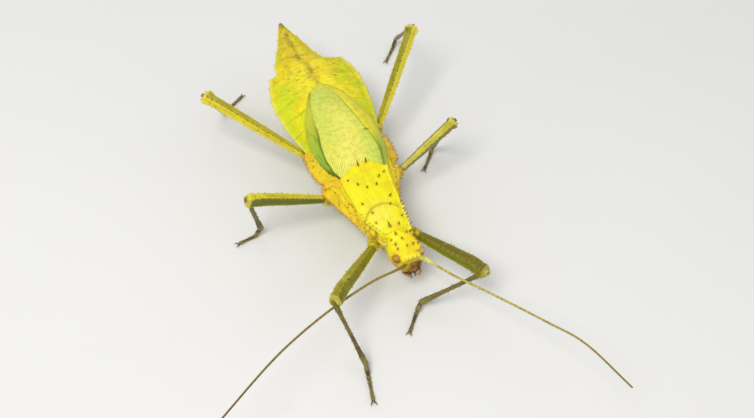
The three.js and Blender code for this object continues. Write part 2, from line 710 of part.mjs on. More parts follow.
const legs = Object.values(LEGS);
const limbRoom = joinAll(coxaSolid(legs[0], GAP), [
  ...legs.slice(1).map((leg) => coxaSolid(leg, GAP)),
  ...legs.map((leg) => femurSolid(leg, GAP))]);
const eyeRooms = [1, -1].map((side) => eyeSolid(side, GAP));

let head = joinAll(headSolid(), headThorns());
for (const room of eyeRooms) head = head.subtract(room);
addPart('head', largest(head), COLOURS.body);
addPart('eye_left', largest(eyeSolid(1).subtract(headSolid(-0.9))), COLOURS.eye, 0.25);
addPart('eye_right', largest(eyeSolid(-1).subtract(headSolid(-0.9))), COLOURS.eye, 0.25);

for (const [name, solid] of mouthparts()) {
  addPart(name, largest(solid.subtract(headRoom)), COLOURS.mouth);
}

for (const side of ['left', 'right']) {
  ANTENNA_LENGTHS.forEach((label, piece) => {
    const solid = antennaLength(side, piece).subtract(headRoom);
    addPart(`antenna_${side}_${label}`, largest(solid), COLOURS.feeler);
  });
}

addPart('prothorax', largest(prothoraxSolid(limbRoom).subtract(headRoom)), COLOURS.body);
addPart('mesothorax', largest(mesothoraxSolid(limbRoom)), COLOURS.body);
addPart('metathorax', largest(metathoraxSolid(limbRoom)), COLOURS.pleura);
addPart('tegmen_left', tegmenLeft, COLOURS.tegmen, 0.5);
addPart('tegmen_right', tegmenRight, COLOURS.tegmen, 0.5);

abdomenSegments(limbRoom).forEach((segment, index) => {
  addPart(`abdomen_${index + 2}`, largest(segment), COLOURS.abdomen);
});
addPart('ovipositor_upper', beakUpper(), COLOURS.abdomen);
addPart('ovipositor_lower', beakLower(), COLOURS.abdomen);

for (const [name, leg] of Object.entries(LEGS)) {
  const thorns = limbThorns(leg.thigh, leg.knee, leg.femur, [0.3, 0.55, 0.8], 1.1, thighUp(leg));
  const thigh = joinAll(femurSolid(leg), thorns);
  const hip = coxaSolid(leg).subtract(femurSolid(leg, GAP)).subtract(trunkSpace).subtract(headRoom);
  const shin = tibiaSolid(leg).subtract(femurSolid(leg, GAP));
  addPart(`${name}_coxa`, largest(hip), COLOURS.body);
  addPart(`${name}_femur`, largest(thigh.subtract(trunkSpace).subtract(headRoom)), COLOURS.leg);
  addPart(`${name}_tibia`, largest(shin), COLOURS.shin);
  addPart(`${name}_tarsus`, largest(tarsusSolid(leg)), COLOURS.foot);
}

// The origin is the middle of the whole insect's box, on the floor.
const box = new THREE.Box3().setFromObject(model);
model.position.set(-(box.min.x + box.max.x) / 2, -(box.min.y + box.max.y) / 2, -box.min.z);

export default model;
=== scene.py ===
import math
from types import SimpleNamespace

import bpy
import numpy as np
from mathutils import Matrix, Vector


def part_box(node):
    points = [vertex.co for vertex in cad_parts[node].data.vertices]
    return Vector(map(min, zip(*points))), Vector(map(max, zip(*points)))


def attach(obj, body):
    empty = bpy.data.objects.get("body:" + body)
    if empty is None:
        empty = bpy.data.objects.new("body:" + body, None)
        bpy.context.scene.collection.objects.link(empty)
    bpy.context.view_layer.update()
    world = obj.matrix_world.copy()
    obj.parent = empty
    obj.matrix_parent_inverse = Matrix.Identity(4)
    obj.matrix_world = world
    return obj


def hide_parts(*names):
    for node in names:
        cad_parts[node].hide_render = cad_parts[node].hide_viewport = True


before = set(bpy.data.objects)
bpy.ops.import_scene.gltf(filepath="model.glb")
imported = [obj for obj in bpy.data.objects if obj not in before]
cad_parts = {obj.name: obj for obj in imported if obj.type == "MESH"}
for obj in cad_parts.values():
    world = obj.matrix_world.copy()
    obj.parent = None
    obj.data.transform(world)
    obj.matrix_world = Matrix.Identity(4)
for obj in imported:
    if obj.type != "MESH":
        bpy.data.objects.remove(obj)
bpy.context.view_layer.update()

# ------------------------ driving dimensions

# Stations along the body, as y.
HEAD_FRONT = -43.8
BROW = -42.0
NECK = -33.1
PRONOTUM_REAR = -22.4
META_START = -7.5
MESO_WIDEST = -4.5
MESONOTUM_REAR = -3.2
META_WIDEST = 10.0
METATHORAX_REAR = 17.3
WAIST = 17.6
WIDEST = 45.0
CORNER = 59.6
BEAK_START = 66.5
TAIL = 86.9
SEGMENT_ENDS = [25.5, 33.5, 41.5, 49.0, 55.5, CORNER, BEAK_START, 72.5, 78.5]
SEGMENT_STARTS = [WAIST, *SEGMENT_ENDS]

# Half-widths, heights and slopes of the trunk.
ABDOMEN_HALF = 19.7
CORNER_HALF = 12.4
META_HALF = 17.3
MESO_HALF = 16.0
WAIST_HALF = 15.0
NECK_HALF = 5.6
TAIL_HALF = 0.7
MARGIN_Z = 17.4
ABDOMEN_PITCH = 0.14
THORAX_PITCH = 0.12
NOTUM_Z = 27.7
NOTUM_PITCH = 0.165
PRONOTUM_SWEEP = -3.6

# Head.
HEAD_HALF = 5.9
EYE_Y = -40.4
EYE_Z = 15.0
EYE_HALF_SPACING = 4.75
EYE_RADIUS = 1.6

# Wing cases.
TEGMEN_START = -6.0
TEGMEN_END = 43.9
TEGMEN_TOP = 29.6
CASE_THICK = 0.42

# ------------------------ numbers


def lerp(a, b, t):
    return a + (b - a) * t


def ramp(x, a, b):
    return np.clip((x - a) / (b - a), 0.0, 1.0)


def ease(x, a, b):
    t = ramp(x, a, b)
    return t * t * (3 - 2 * t)


def bump(x, centre, width):
    return np.exp(-((x - centre) / width) ** 2)


def ridges(x, *shapes):
    """Bumps added together, each given as its centre, width and height."""
    return sum((height * bump(x, centre, width) for centre, width, height in shapes), 0 * x)


def bezier(a, b, c, t):
    return (1 - t) ** 2 * a + 2 * t * (1 - t) * b + t * t * c


def circle(count, start=0.0):
    """Evenly spaced angles of a full turn, as one row."""
    return np.linspace(start, start + 2 * math.pi, count, endpoint=False)[None]


def unit(v):
    return v / np.maximum(np.linalg.norm(v, axis=-1, keepdims=True), 1e-9)


def vec(*values):
    return np.array(values, dtype=float)


def away_from(points, centre):
    return np.linalg.norm(points - centre, axis=-1)


def lattice(cell, seed):
    """A repeatable random number from 0 to 1 for each whole-numbered cell."""
    x, y, z = (cell[..., k].astype(np.uint32) for k in range(3))
    h = x * np.uint32(374761393) + y * np.uint32(668265263) + z * np.uint32(2246822519)
    h = (h + np.uint32(seed) * np.uint32(3266489917)) ^ (h >> np.uint32(13))
    h = h * np.uint32(1274126177)
    h = h ^ (h >> np.uint32(16))
    return (h & np.uint32(0xFFFF)) / 65535.0


def noise(points, size, seed):
    """Smooth noise from -1 to 1 with lumps of about the given size in millimetres."""
    p = np.asarray(points) / size + 1000.0
    cell = np.floor(p).astype(np.int64)
    f = p - cell
    f = f * f * (3 - 2 * f)
    total = np.zeros(p.shape[:-1])
    for corner in range(8):
        step = vec(corner & 1, corner >> 1 & 1, corner >> 2)
        weight = np.prod(np.where(step > 0, f, 1 - f), axis=-1)
        total += weight * lattice(cell + step.astype(np.int64), seed)
    return 2 * total - 1


def fractal(points, size, seed, octaves=3):
    total = sum(0.5 ** k * noise(points, size / 2 ** k, seed + 17 * k) for k in range(octaves))
    return total / (2 - 0.5 ** (octaves - 1))


def blotch(points, size, seed, low=0.0, high=0.5):
    """Soft-edged patches, 0 to 1, where the noise is above low."""
    return ease(fractal(points, size, seed), low, high)


# ------------------------ colours


def srgb(red, green, blue):
    """A colour as a picture states it, 0 to 255, turned into the shader's linear values."""
    c = np.array([red, green, blue]) / 255.0
    return np.where(c <= 0.04045, c / 12.92, ((c + 0.055) / 1.055) ** 2.4)


def tones(**levels):
    """A part's named colours, each stated as a picture does."""
    return SimpleNamespace(**{name: srgb(*level) for name, level in levels.items()})


def paint(base, colour, weight):
    return base + (colour - base) * np.clip(weight, 0, 1)[..., None]


def coat(points, base, *layers):
    """A colour for every point: a base colour under layers of colour, each with its weight."""
    skin = np.broadcast_to(base, points.shape)
    for colour, weight in layers:
        skin = paint(skin, colour, weight)
    return skin


LEMON = srgb(252, 242, 12)
GOLD = srgb(246, 216, 14)
ORANGE = srgb(232, 180, 26)
LIME = srgb(214, 232, 20)
OCHRE = srgb(222, 194, 20)
RIDGE = srgb(146, 122, 40)
RIM = srgb(244, 234, 130)
PINKISH = srgb(226, 172, 84)
OLIVE = srgb(128, 122, 26)
BELLY = srgb(176, 178, 62)
CREAM = srgb(238, 224, 110)
BROWN = srgb(92, 66, 26)
THORN_DARK = srgb(62, 44, 14)

# ------------------------ shape of the trunk


def middle_x(y):
    """The body's middle line bends a little: the head to the left, the tail to the right."""
    tail = 0.6 * ease(y, 68, 76) - 2.5 * ease(y, 57.5, 65)
    return tail - 1.45 * ease(y, 5, -12) + 3.75 * ease(y, -22, -43)


def margin_z(y):
    fall = THORAX_PITCH * np.maximum(0, -5 - y)
    return MARGIN_Z + np.where(y > WAIST, ABDOMEN_PITCH * (y - WAIST), -fall)


def ring_turn(y):
    """How far the rings of the abdomen slant to the rear on the left, for each millimetre across."""
    return 0.075 * ease(y, 24, 50) * ease(y, TAIL, 66)


def abdomen_half(y):
    before = ABDOMEN_HALF - 4.7 * (np.maximum(WIDEST - y, 0) / (WIDEST - WAIST)) ** 2
    after = ABDOMEN_HALF - 3.9 * (np.maximum(y - WIDEST, 0) / (CORNER - WIDEST)) ** 2
    tail = lerp(CORNER_HALF, TAIL_HALF, ramp(y, CORNER, TAIL) ** 0.88)
    return np.select([y > CORNER, y > WIDEST], [tail, after], before)


def thorax_half(y):
    meta = META_HALF - 2.2 * (np.abs(y - META_WIDEST) / META_WIDEST) ** 2
    joint = lerp(WAIST_HALF, MESO_HALF, ramp(y, 0, MESO_WIDEST))
    meso = lerp(MESO_HALF, 8.3, ramp(y, MESO_WIDEST, PRONOTUM_REAR) ** 0.85)
    pro = lerp(8.0, NECK_HALF, ramp(y, PRONOTUM_REAR, NECK))
    return np.select([y > 0, y > MESO_WIDEST, y > PRONOTUM_REAR], [meta, joint, meso], pro)


def trunk_half(y):
    return np.where(y > WAIST, abdomen_half(y), thorax_half(y))


def notum_top(y):
    return NOTUM_Z + NOTUM_PITCH * (y - MESONOTUM_REAR)


def back_top(y):
    body = lerp(7.2, 9.0, ramp(y, META_START, WAIST)) - 5.6 * ramp(y, WAIST, CORNER)
    tail = lerp(3.4, TAIL_HALF, ramp(y, CORNER, TAIL))
    return margin_z(y) + np.where(y > CORNER, tail, body)


def trunk_bottom(y):
    taper = lerp(1, 0.35, ramp(y, 67, TAIL))
    belly = margin_z(y) - 10.3 * taper * (1 - ((y - 34) / 71) ** 2)
    chest = lerp(7.6, 8.0, ramp(y, NECK, -20)) + 0.8 * ease(y, -20, 0)
    return np.where(y > 20, belly, chest)


def back_plate(y):
    abdomen = lerp(9.6, 0.45 * trunk_half(y), ramp(y, WAIST, 40))
    return np.where(y > WAIST, abdomen, lerp(8.2, 9.6, ramp(y, MESONOTUM_REAR, WAIST)))


def notum_plate(y):
    meso = lerp(7.9, 9.2, ramp(y, PRONOTUM_REAR, -6))
    return np.where(y > PRONOTUM_REAR, meso, lerp(5.4, 7.9, ramp(y, NECK, -25)))


def behind_notum(x, y):
    """How far a point lies behind the mesonotum's rear edge, which bends forwards at its corners."""
    out = np.clip(np.abs(x) / trunk_half(y), 0, 1)
    return y - MESONOTUM_REAR + 16.2 * out ** 2 - 18.6 * out ** 4


def behind_joint(x, y):
    """How far a point lies behind the joint between pronotum and mesonotum."""
    return y - PRONOTUM_REAR - PRONOTUM_SWEEP * np.clip(np.abs(x) / trunk_half(y), 0, 1) ** 2


def section(y, turn, top, plate, drop):
    """Half of a ring: distance from the middle and height. turn is 0 on the crown, 1 at the plate's
    edge, 2 at the side edge and 4 on the keel."""
    half, side, keel = trunk_half(y), margin_z(y), trunk_bottom(y)
    low = top - drop
    a, b, c = ramp(turn, 0, 1), ramp(turn, 1, 2), ramp(turn, 2, 4)
    bands = [turn < 1, turn < 2]
    x = np.select(bands, [bezier(0, 0.6 * plate, plate, a),
                          bezier(plate, (plate + half) / 2 + 0.3, half, b)], bezier(half, 0.8 * half, 0, c))
    z = np.select(bands, [bezier(top, top, low, a),
                          bezier(low, (low + side) / 2 + 0.3, side, b)], bezier(side, keel, keel, c))
    return x, z


def back_section(y, turn):
    return section(y, turn, back_top(y), back_plate(y), 0.12 * (back_top(y) - margin_z(y)))


def trunk_surface(y, turn):
    """The trunk without its relief: distance from the middle line, height, and how far the point
    belongs to the lower back behind the mesonotum."""
    x_notum, z_notum = section(y, turn, notum_top(y), notum_plate(y), 1.5)
    x_back, z_back = back_section(y, turn)
    behind = ease(behind_notum(x_notum, y), -0.15, 0.45)
    return lerp(x_notum, x_back, behind), lerp(z_notum, z_back, behind), behind


# ------------------------ placing and mesh building


def frame_shift():
    """Where the insect's own axes stand in the frame, from nodes whose faces have known places."""
    eye_left, eye_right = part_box("eye_left"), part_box("eye_right")
    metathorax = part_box("metathorax")
    x = 500 * (eye_left[1].x + eye_right[0].x) - float(middle_x(EYE_Y))
    y = 1000 * metathorax[1].y - METATHORAX_REAR
    return vec(x, y, 0)


SHIFT = frame_shift()


def place(points):
    return (np.asarray(points) + SHIFT) * 0.001


def outward(points):
    """Outward directions of a grid of closed rings, and 1 if its rows and columns turn so that its
    faces look out too, or else -1."""
    around = np.roll(points, -1, axis=1) - np.roll(points, 1, axis=1)
    normals = np.cross(around, np.gradient(points, axis=0))
    facing = np.sign(np.sum(normals * (points - points.mean(axis=1, keepdims=True))))
    return unit(normals) * facing, int(facing)


def raised(points, height):
    """A grid of closed rings with its skin lifted by a height for each point."""
    return points + outward(points)[0] * height[..., None]


class Shell:
    """Collects surfaces into one mesh that has a colour, called tint, at every point."""

    def __init__(self):
        self.points, self.tints, self.faces, self.count = [], [], [], 0

    def add(self, points, faces, tints):
        points = np.asarray(points, dtype=float).reshape(-1, 3)
        tints = np.asarray(tints)
        tints = tints.reshape(-1, tints.shape[-1])
        self.points.append(points)
        self.tints.append(np.broadcast_to(tints, (len(points), tints.shape[-1])))
        self.faces.append(np.asarray(faces).reshape(-1, np.shape(faces)[-1]) + self.count)
        self.count += len(points)

    def grid(self, points, tints):
        """Closed rings of points, one for each row. Fans close the first and the last."""
        rows, cols = points.shape[:2]
        index = np.arange(rows * cols).reshape(rows, cols)
        right = np.roll(index, -1, axis=1)
        turn = outward(points)[1]
        quads = np.stack([index[:-1], right[:-1], right[1:], index[1:]], axis=-1)[..., ::turn]
        start = self.count
        self.add(points, quads, tints)
        for row in (0, rows - 1):
            ring, after = index[row] + start, right[row] + start
            self.add(points[row].mean(axis=0), np.zeros((0, 3), dtype=int), tints[row].mean(axis=0))
            tip = np.full(cols, self.count - 1)
            fan = [tip, after, ring] if row == 0 else [tip, ring, after]
            self.faces.append(np.stack(fan, axis=-1)[:, ::turn])

    def build(self, name, material, slot, nodes=()):
        """Makes the mesh a piece on the root body, with the nodes that it replaces."""
        quads, triangles = (np.concatenate([f for f in self.faces if f.shape[-1] == k]) for k in (4, 3))
        loops = np.concatenate([quads.ravel(), triangles.ravel()])
        starts = np.concatenate([4 * np.arange(len(quads)), quads.size + 3 * np.arange(len(triangles))])
        tints = np.concatenate(self.tints)
        colours = np.ones((self.count, 4))
        colours[:, :tints.shape[1]] = tints
        mesh = bpy.data.meshes.new(name)
        mesh.vertices.add(self.count)
        mesh.vertices.foreach_set("co", place(np.concatenate(self.points)).ravel())
        mesh.loops.add(len(loops))
        mesh.loops.foreach_set("vertex_index", loops.astype(np.int32))
        mesh.polygons.add(len(starts))
        mesh.polygons.foreach_set("loop_start", starts.astype(np.int32))
        mesh.polygons.foreach_set("use_smooth", np.ones(len(starts), dtype=bool))
        mesh.attributes.new("tint", "FLOAT_COLOR", "POINT").data.foreach_set("color", colours.ravel())
        mesh.update(calc_edges=True)
        mesh.validate()
        mesh.materials.append(material)
        piece = bpy.data.objects.new(name, mesh)
        bpy.context.collection.objects.link(piece)
        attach(piece, "root")
        if nodes:
            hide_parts(*nodes)


def side_axes(along, hint):
    """The right and up directions of a limb that runs along the given direction."""
    right = unit(np.cross(along, hint))
    return right, np.cross(right, along)


def tube_points(centres, rights, ups, wide, deep, angles):
    """A grid of rings round a middle line. Angle 0 is up and a quarter turn is right."""
    sine, cosine = np.sin(angles), np.cos(angles)
    return (centres[:, None] + rights[:, None] * (wide * sine)[..., None]
            + ups[:, None] * (deep * cosine)[..., None])


def spline(points, samples):
    """A smooth line through given points, with samples evenly spaced along it."""
    points = np.asarray(points, dtype=float)
    padded = np.vstack([2 * points[0] - points[1], points, 2 * points[-1] - points[-2]])
    fine = []
    for a, b, c, d in zip(padded, padded[1:], padded[2:], padded[3:]):
        t = np.linspace(0, 1, 24, endpoint=False)[:, None]
        fine.append(0.5 * (2 * b + (c - a) * t + (2 * a - 5 * b + 4 * c - d) * t ** 2
                           + (3 * b - a - 3 * c + d) * t ** 3))
    fine = np.vstack(fine + [points[-1:]])
    length = np.concatenate([[0], np.cumsum(np.linalg.norm(np.diff(fine, axis=0), axis=1))])
    even = np.linspace(0, length[-1], samples)
    return np.stack([np.interp(even, length, fine[:, k]) for k in range(fine.shape[1])], axis=-1)


def sweep(path, hint):
    """Directions of a path, with the right and up that go with each point of it."""
    along = unit(np.gradient(path, axis=0))
    right, up = side_axes(along, hint)
    return along, right, up


THORN_RINGS = np.array([0.0, 0.1, 0.24, 0.42, 0.62, 0.82, 0.94])
THORN_SIDES = 8


def thorn_faces():
    """The quads of a thorn's sides and the triangles that close its tip and its foot."""
    index = np.arange(len(THORN_RINGS) * THORN_SIDES).reshape(-1, THORN_SIDES)
    after = np.roll(index, -1, axis=1)
    sides = np.stack([index[:-1], after[:-1], after[1:], index[1:]], axis=-1).reshape(-1, 4)
    tip = np.stack([index[-1], after[-1], np.full(THORN_SIDES, index.size)], axis=-1)
    back = np.arange(THORN_SIDES - 1, 0, -1)
    foot = np.stack([back[:-1], back[1:], 0 * back[1:]], axis=-1)
    return sides, tip, foot


def add_thorns(shell, roots, aims, lengths, widths, base, tip=THORN_DARK, bend=0.12, dark_from=0.3):
    """Curved thorns with a swollen foot. Everything is one entry for each thorn, or one for all."""
    roots = np.atleast_2d(roots)
    count = len(roots)
    aims = unit(np.broadcast_to(aims, (count, 3)))
    lengths, widths = (np.broadcast_to(v, count)[:, None, None] for v in (lengths, widths))
    right, up = side_axes(aims, np.where(np.abs(aims[:, 2:]) > 0.9, vec(0, 1, 0), vec(0, 0, 1)))
    t = THORN_RINGS[None, :, None]
    radius = widths * (0.62 * (1 - t) ** 0.85 + 0.38 * np.exp(-(t / 0.13) ** 2) + 0.02)
    spine = roots[:, None] + aims[:, None] * (lengths * (t - 0.12))
    spine = spine + up[:, None] * (bend * lengths * t * t)
    angle = circle(THORN_SIDES)[0][:, None]
    ring = right[:, None, None] * np.sin(angle) + up[:, None, None] * np.cos(angle)
    points = spine[:, :, None] + ring * radius[..., None]
    ends = spine[:, -1] + aims * (0.08 * lengths[:, 0])
    dark = ease(THORN_RINGS, dark_from, dark_from + 0.35)[None, :, None]
    tints = lerp(np.broadcast_to(base, (count, 3))[:, None], tip, dark)
    tints = np.broadcast_to(tints[:, :, None], points.shape)
    points = np.concatenate([points.reshape(count, -1, 3), ends[:, None]], axis=1)
    tints = np.concatenate([tints.reshape(count, -1, 3), np.full((count, 1, 3), tip)], axis=1)
    offsets = np.arange(count)[:, None, None] * points.shape[1]
    sides, *closing = thorn_faces()
    start = shell.count
    shell.add(points, sides + offsets, tints)
    for faces in closing:
        shell.faces.append((faces + offsets).reshape(-1, 3) + start)


# ------------------------ materials


class Nodes:
    """Short forms for building a material's node tree."""

    def __init__(self, name):
        self.material = bpy.data.materials.new(name)
        self.material.use_nodes = True
        self.tree = self.material.node_tree
        self.shader = self.tree.nodes["Principled BSDF"]

    def put(self, value, socket):
        if isinstance(value, bpy.types.NodeSocket):
            self.tree.links.new(value, socket)
        else:
            socket.default_value = value

    def node(self, kind, output, inputs, **settings):
        """Adds a node, fills its inputs and gives back one of its outputs."""
        made = self.tree.nodes.new("ShaderNode" + kind)
        for name, value in settings.items():
            setattr(made, name, value)
        for socket, value in inputs.items():
            self.put(value, made.inputs[socket])
        return made.outputs[output]

    def math(self, operation, a, b=0.0):
        return self.node("Math", 0, {0: a, 1: b}, operation=operation)

    def plus(self, a, b):
        return self.math("ADD", a, b)

    def minus(self, a, b):
        return self.math("SUBTRACT", a, b)

    def times(self, a, b):
        return self.math("MULTIPLY", a, b)

    def coordinates(self, stretch=(1, 1, 1)):
        inside = self.node("TexCoord", "Object", {})
        return self.node("Mapping", 0, {"Vector": inside, "Scale": stretch})

    def noise(self, per_metre, detail, roughness, stretch=(1, 1, 1)):
        return self.node("TexNoise", "Fac", {"Scale": per_metre, "Detail": detail, "Roughness": roughness,
                                             "Vector": self.coordinates(stretch)})

    def cells(self, per_metre, feature):
        return self.node("TexVoronoi", "Distance", {"Scale": per_metre, "Vector": self.coordinates()},
                         feature=feature)

    def range(self, value, low, high, to_low=0.0, to_high=1.0):
        return self.node("MapRange", 0, {"Value": value, "From Min": low, "From Max": high,
                                         "To Min": to_low, "To Max": to_high})

    def mix(self, factor, a, b, blend="MIX"):
        """Two colours mixed. b is a colour of three numbers."""
        return self.node("Mix", 2, {0: factor, 6: a, 7: (*b, 1)}, data_type="RGBA", blend_type=blend)

    def tint(self, output="Color"):
        return self.node("Attribute", output, {}, attribute_name="tint")

    def bump(self, height, strength, distance):
        values = {"Strength": strength, "Distance": distance, "Height": height}
        self.put(self.node("Bump", 0, values), self.shader.inputs["Normal"])

    def surface(self, colour, roughness, **gloss):
        """Sets the shader's sockets, which are named with _ for each space, and ends the material."""
        for name, value in {"Base_Color": colour, "Roughness": roughness, **gloss}.items():
            self.put(value, self.shader.inputs[name.replace("_", " ")])
        return self.material


def cuticle(name, speck, speck_amount, grain, rough, coat_weight=0.1, flesh=0.12):
    """Insect skin: the painted tint with mottling, tiny specks, a grained surface and a soft gloss."""
    n = Nodes(name)
    mottle = n.noise(420, 6, 0.6)
    fine = n.noise(1900, 3, 0.5)
    pits = n.cells(grain, "F1")
    warm = n.mix(n.range(mottle, 0.4, 0.68, 0.0, 0.5), n.tint(), srgb(246, 240, 150), "MULTIPLY")
    shade = n.mix(n.range(fine, 0.42, 0.75, 0.0, 0.3), warm, srgb(226, 214, 110), "MULTIPLY")
    specks = n.times(n.range(pits, 0.22, 0.1), n.range(mottle, 0.5, 0.62))
    n.bump(n.plus(n.times(pits, 0.7), n.times(fine, 0.6)), 0.55, 0.00011)
    return n.surface(n.mix(n.times(specks, speck_amount), shade, srgb(*speck)),
                     n.range(fine, 0.2, 0.8, rough - 0.1, rough + 0.14),
                     Coat_Weight=coat_weight, Coat_Roughness=0.32, Specular_IOR_Level=0.32,
                     Subsurface_Weight=flesh, Subsurface_Radius=(0.9, 0.7, 0.2), Subsurface_Scale=0.0009)


# From dot to dot of a wing case's pattern, in metres.
DOT_PITCH = 0.00056


def wing_case(name):
    """A leathery wing case. The tint's alpha numbers the lengthwise rows: above zero they are rows
    of dark dots between pale veins, and below zero they are fine parallel veins."""
    n = Nodes(name)
    row = n.tint("Alpha")
    near_row = n.math("ROUND", row)
    aside = n.math("ABSOLUTE", n.minus(row, near_row))
    along = n.node("SeparateXYZ", "Y", {0: n.coordinates()})
    wave = n.range(n.noise(620, 3, 0.6), 0.25, 0.75, -1.4, 1.4)
    step = n.plus(n.plus(n.times(along, 1 / DOT_PITCH), wave), n.times(near_row, 0.618))
    ahead = n.math("ABSOLUTE", n.minus(step, n.math("ROUND", step)))
    away = n.math("SQRT", n.plus(n.times(aside, aside), n.times(ahead, ahead)))
    mottle = n.noise(520, 5, 0.6)
    dotted = n.math("GREATER_THAN", row, 0.0)
    dots = n.times(n.times(n.range(away, 0.42, 0.16), n.range(mottle, 0.4, 0.62, 0.1, 0.7)), dotted)
    veins = n.times(n.range(aside, 0.32, 0.08), n.minus(1.0, dotted))
    between = n.times(n.range(aside, 0.34, 0.48), dotted)
    skin = n.mix(n.times(between, 0.4), n.tint(), srgb(246, 240, 130))
    skin = n.mix(n.times(veins, 0.42), skin, srgb(214, 214, 96))
    skin = n.mix(dots, skin, srgb(98, 136, 40))
    shade = n.mix(n.range(mottle, 0.45, 0.75, 0.0, 0.35), skin, srgb(236, 230, 140), "MULTIPLY")
    n.bump(n.minus(n.times(veins, 0.8), dots), 0.6, 0.0001)
    return n.surface(shade, n.range(mottle, 0.2, 0.8, 0.38, 0.58),
                     Coat_Weight=0.06, Coat_Roughness=0.38, Specular_IOR_Level=0.3,
                     Subsurface_Weight=0.1, Subsurface_Radius=(0.8, 0.8, 0.2), Subsurface_Scale=0.0007)


def eye_glass(name):
    """A compound eye: rows of tiny facets under a clear gloss."""
    n = Nodes(name)
    facets = n.cells(9000, "DISTANCE_TO_EDGE")
    bands = n.noise(900, 4, 0.6, (1, 1, 0.3))
    banded = n.mix(n.range(bands, 0.4, 0.65, 0.0, 0.4), n.tint(), srgb(92, 52, 22))
    n.bump(n.range(facets, 0.0, 0.2), 0.4, 0.00002)
    return n.surface(n.mix(n.range(facets, 0.0, 0.12, 0.4, 0.0), banded, srgb(70, 40, 18)),
                     n.range(bands, 0.2, 0.8, 0.24, 0.38), Coat_Weight=0.25, Coat_Roughness=0.2)


# Each with its specks' colour and strength, grain for each metre, roughness, gloss and flesh.
skin_material = cuticle("skin", (120, 104, 30), 0.5, 1500, 0.46)
leg_material = cuticle("leg_skin", (70, 62, 20), 0.7, 1700, 0.44)
shin_material = cuticle("shin_skin", (40, 34, 14), 0.8, 1900, 0.42, 0.3)
mouth_material = cuticle("mouth_skin", (60, 40, 18), 0.6, 2400, 0.36, 0.4)
feeler_material = cuticle("feeler_skin", (96, 74, 36), 0.5, 2600, 0.46, 0.15)
claw_material = cuticle("claw_horn", (24, 16, 8), 0.5, 2600, 0.28, 0.5, 0.0)
tegmen_material = wing_case("wing_case")
eye_material = eye_glass("compound_eye")

# ------------------------ trunk skin

SIDE_TURNS = np.concatenate([np.linspace(0, 1, 28, endpoint=False), np.linspace(1, 2, 36, endpoint=False),
                             np.linspace(2, 4, 32)])
STATION_STEP = 0.33
BACK = tones(base=(252, 238, 16), side=(222, 230, 22), rust=(220, 150, 30), streak=(186, 176, 14),
             dash=(126, 110, 30), tip=(150, 132, 84))
THORAX = tones(pale=(250, 244, 104), shade=(224, 210, 20), spine_foot=(222, 168, 16), joint=(190, 170, 24),
               ring=(110, 92, 20), tongue=(246, 244, 150))
PLEURA = tones(base=(250, 222, 20), warm=(240, 214, 26), speck=(120, 92, 20))
BELLY_PALE = srgb(206, 200, 82)


def trunk_stations():
    """Stations along the body, close together on both sides of each border between segments."""
    borders = [NECK, PRONOTUM_REAR, *SEGMENT_STARTS, TAIL]
    rows = []
    for start, end in zip(borders, borders[1:]):
        count = max(6, round((end - start) / STATION_STEP))
        rows.append(np.linspace(start + 0.04, end - 0.04, count))
    return np.concatenate(rows)


def segment_share(y):
    """Where a station lies in its abdominal segment, 0 at the front and 1 at the rear."""
    borders = np.array([*SEGMENT_STARTS, TAIL])
    index = np.clip(np.searchsorted(borders, y) - 1, 0, len(borders) - 2)
    return np.where(y > WAIST, (y - borders[index]) / (borders[index + 1] - borders[index]), 0)


def abdomen_relief(y, x, side, points):
    """Segments that rise to their rear edge, a keel, two rows of lumps and fine folds across."""
    part = segment_share(y)
    above = ease(side, 2.3, 1.7)
    keel = bump(x, 0, 0.5) * (0.22 + 0.3 * part)
    rows = 0.14 * bump(np.abs(x), 0.3 * trunk_half(y), 0.9) * part
    folds = 0.07 * np.sin(9.5 * (y + 0.25 * noise(points, 3, 5))) * bump(part, 0.45, 0.35)
    top = 0.2 * part ** 2.2 + keel + rows + folds
    return lerp(0.16 * part ** 3, top, above) - 0.06


def notum_relief(y, x, side):
    """The raised rims of the two notum plates, the joint between them, a middle line and hollows."""
    above = ease(side, 2.3, 1.7)
    plate_rim = ridges(side, (0.98, 0.05, 0.42), (1.14, 0.07, -0.3))
    rear_rim = 0.35 * bump(behind_notum(x, y), -0.5, 0.45)
    joint = ridges(behind_joint(x, y), (0.8, 0.5, 0.3), (0, 0.3, -0.5), (-0.7, 0.5, 0.25))
    middle = 0.22 * above * bump(x, 0, 0.35) * (y > PRONOTUM_REAR)
    hollows = 0.35 * bump(np.abs(x), 0.28 * trunk_half(y), 1.3) * bump(y, -18.5, 1.6)
    return plate_rim + rear_rim + ease(side, 2.4, 2.0) * joint + middle - hollows


def flank_relief(y, side):
    """Ridges and slots of the pleura, and the breastplates below them."""
    lengthwise = ridges(side, (1.5, 0.07, 0.4), (1.34, 0.08, -0.3), (1.68, 0.06, -0.22))
    slots = ridges(y + 4 * (side - 1.5), (-13.5, 0.5, 0.35), (6.5, 0.5, 0.35))
    slots = slots + 0.35 * bump(y + 3 * (side - 1.5), -27.5, 0.4)
    chest = ridges(side, (4.0, 0.12, 0.35), (3.2, 0.1, -0.25))
    chest = chest + ridges(y, (-21.5, 0.5, -0.4), (-1.5, 0.5, -0.4))
    pleura = ease(side, 1.05, 1.2) * ease(side, 1.98, 1.85)
    return pleura * (lengthwise - slots) + ease(side, 2.3, 2.8) * chest


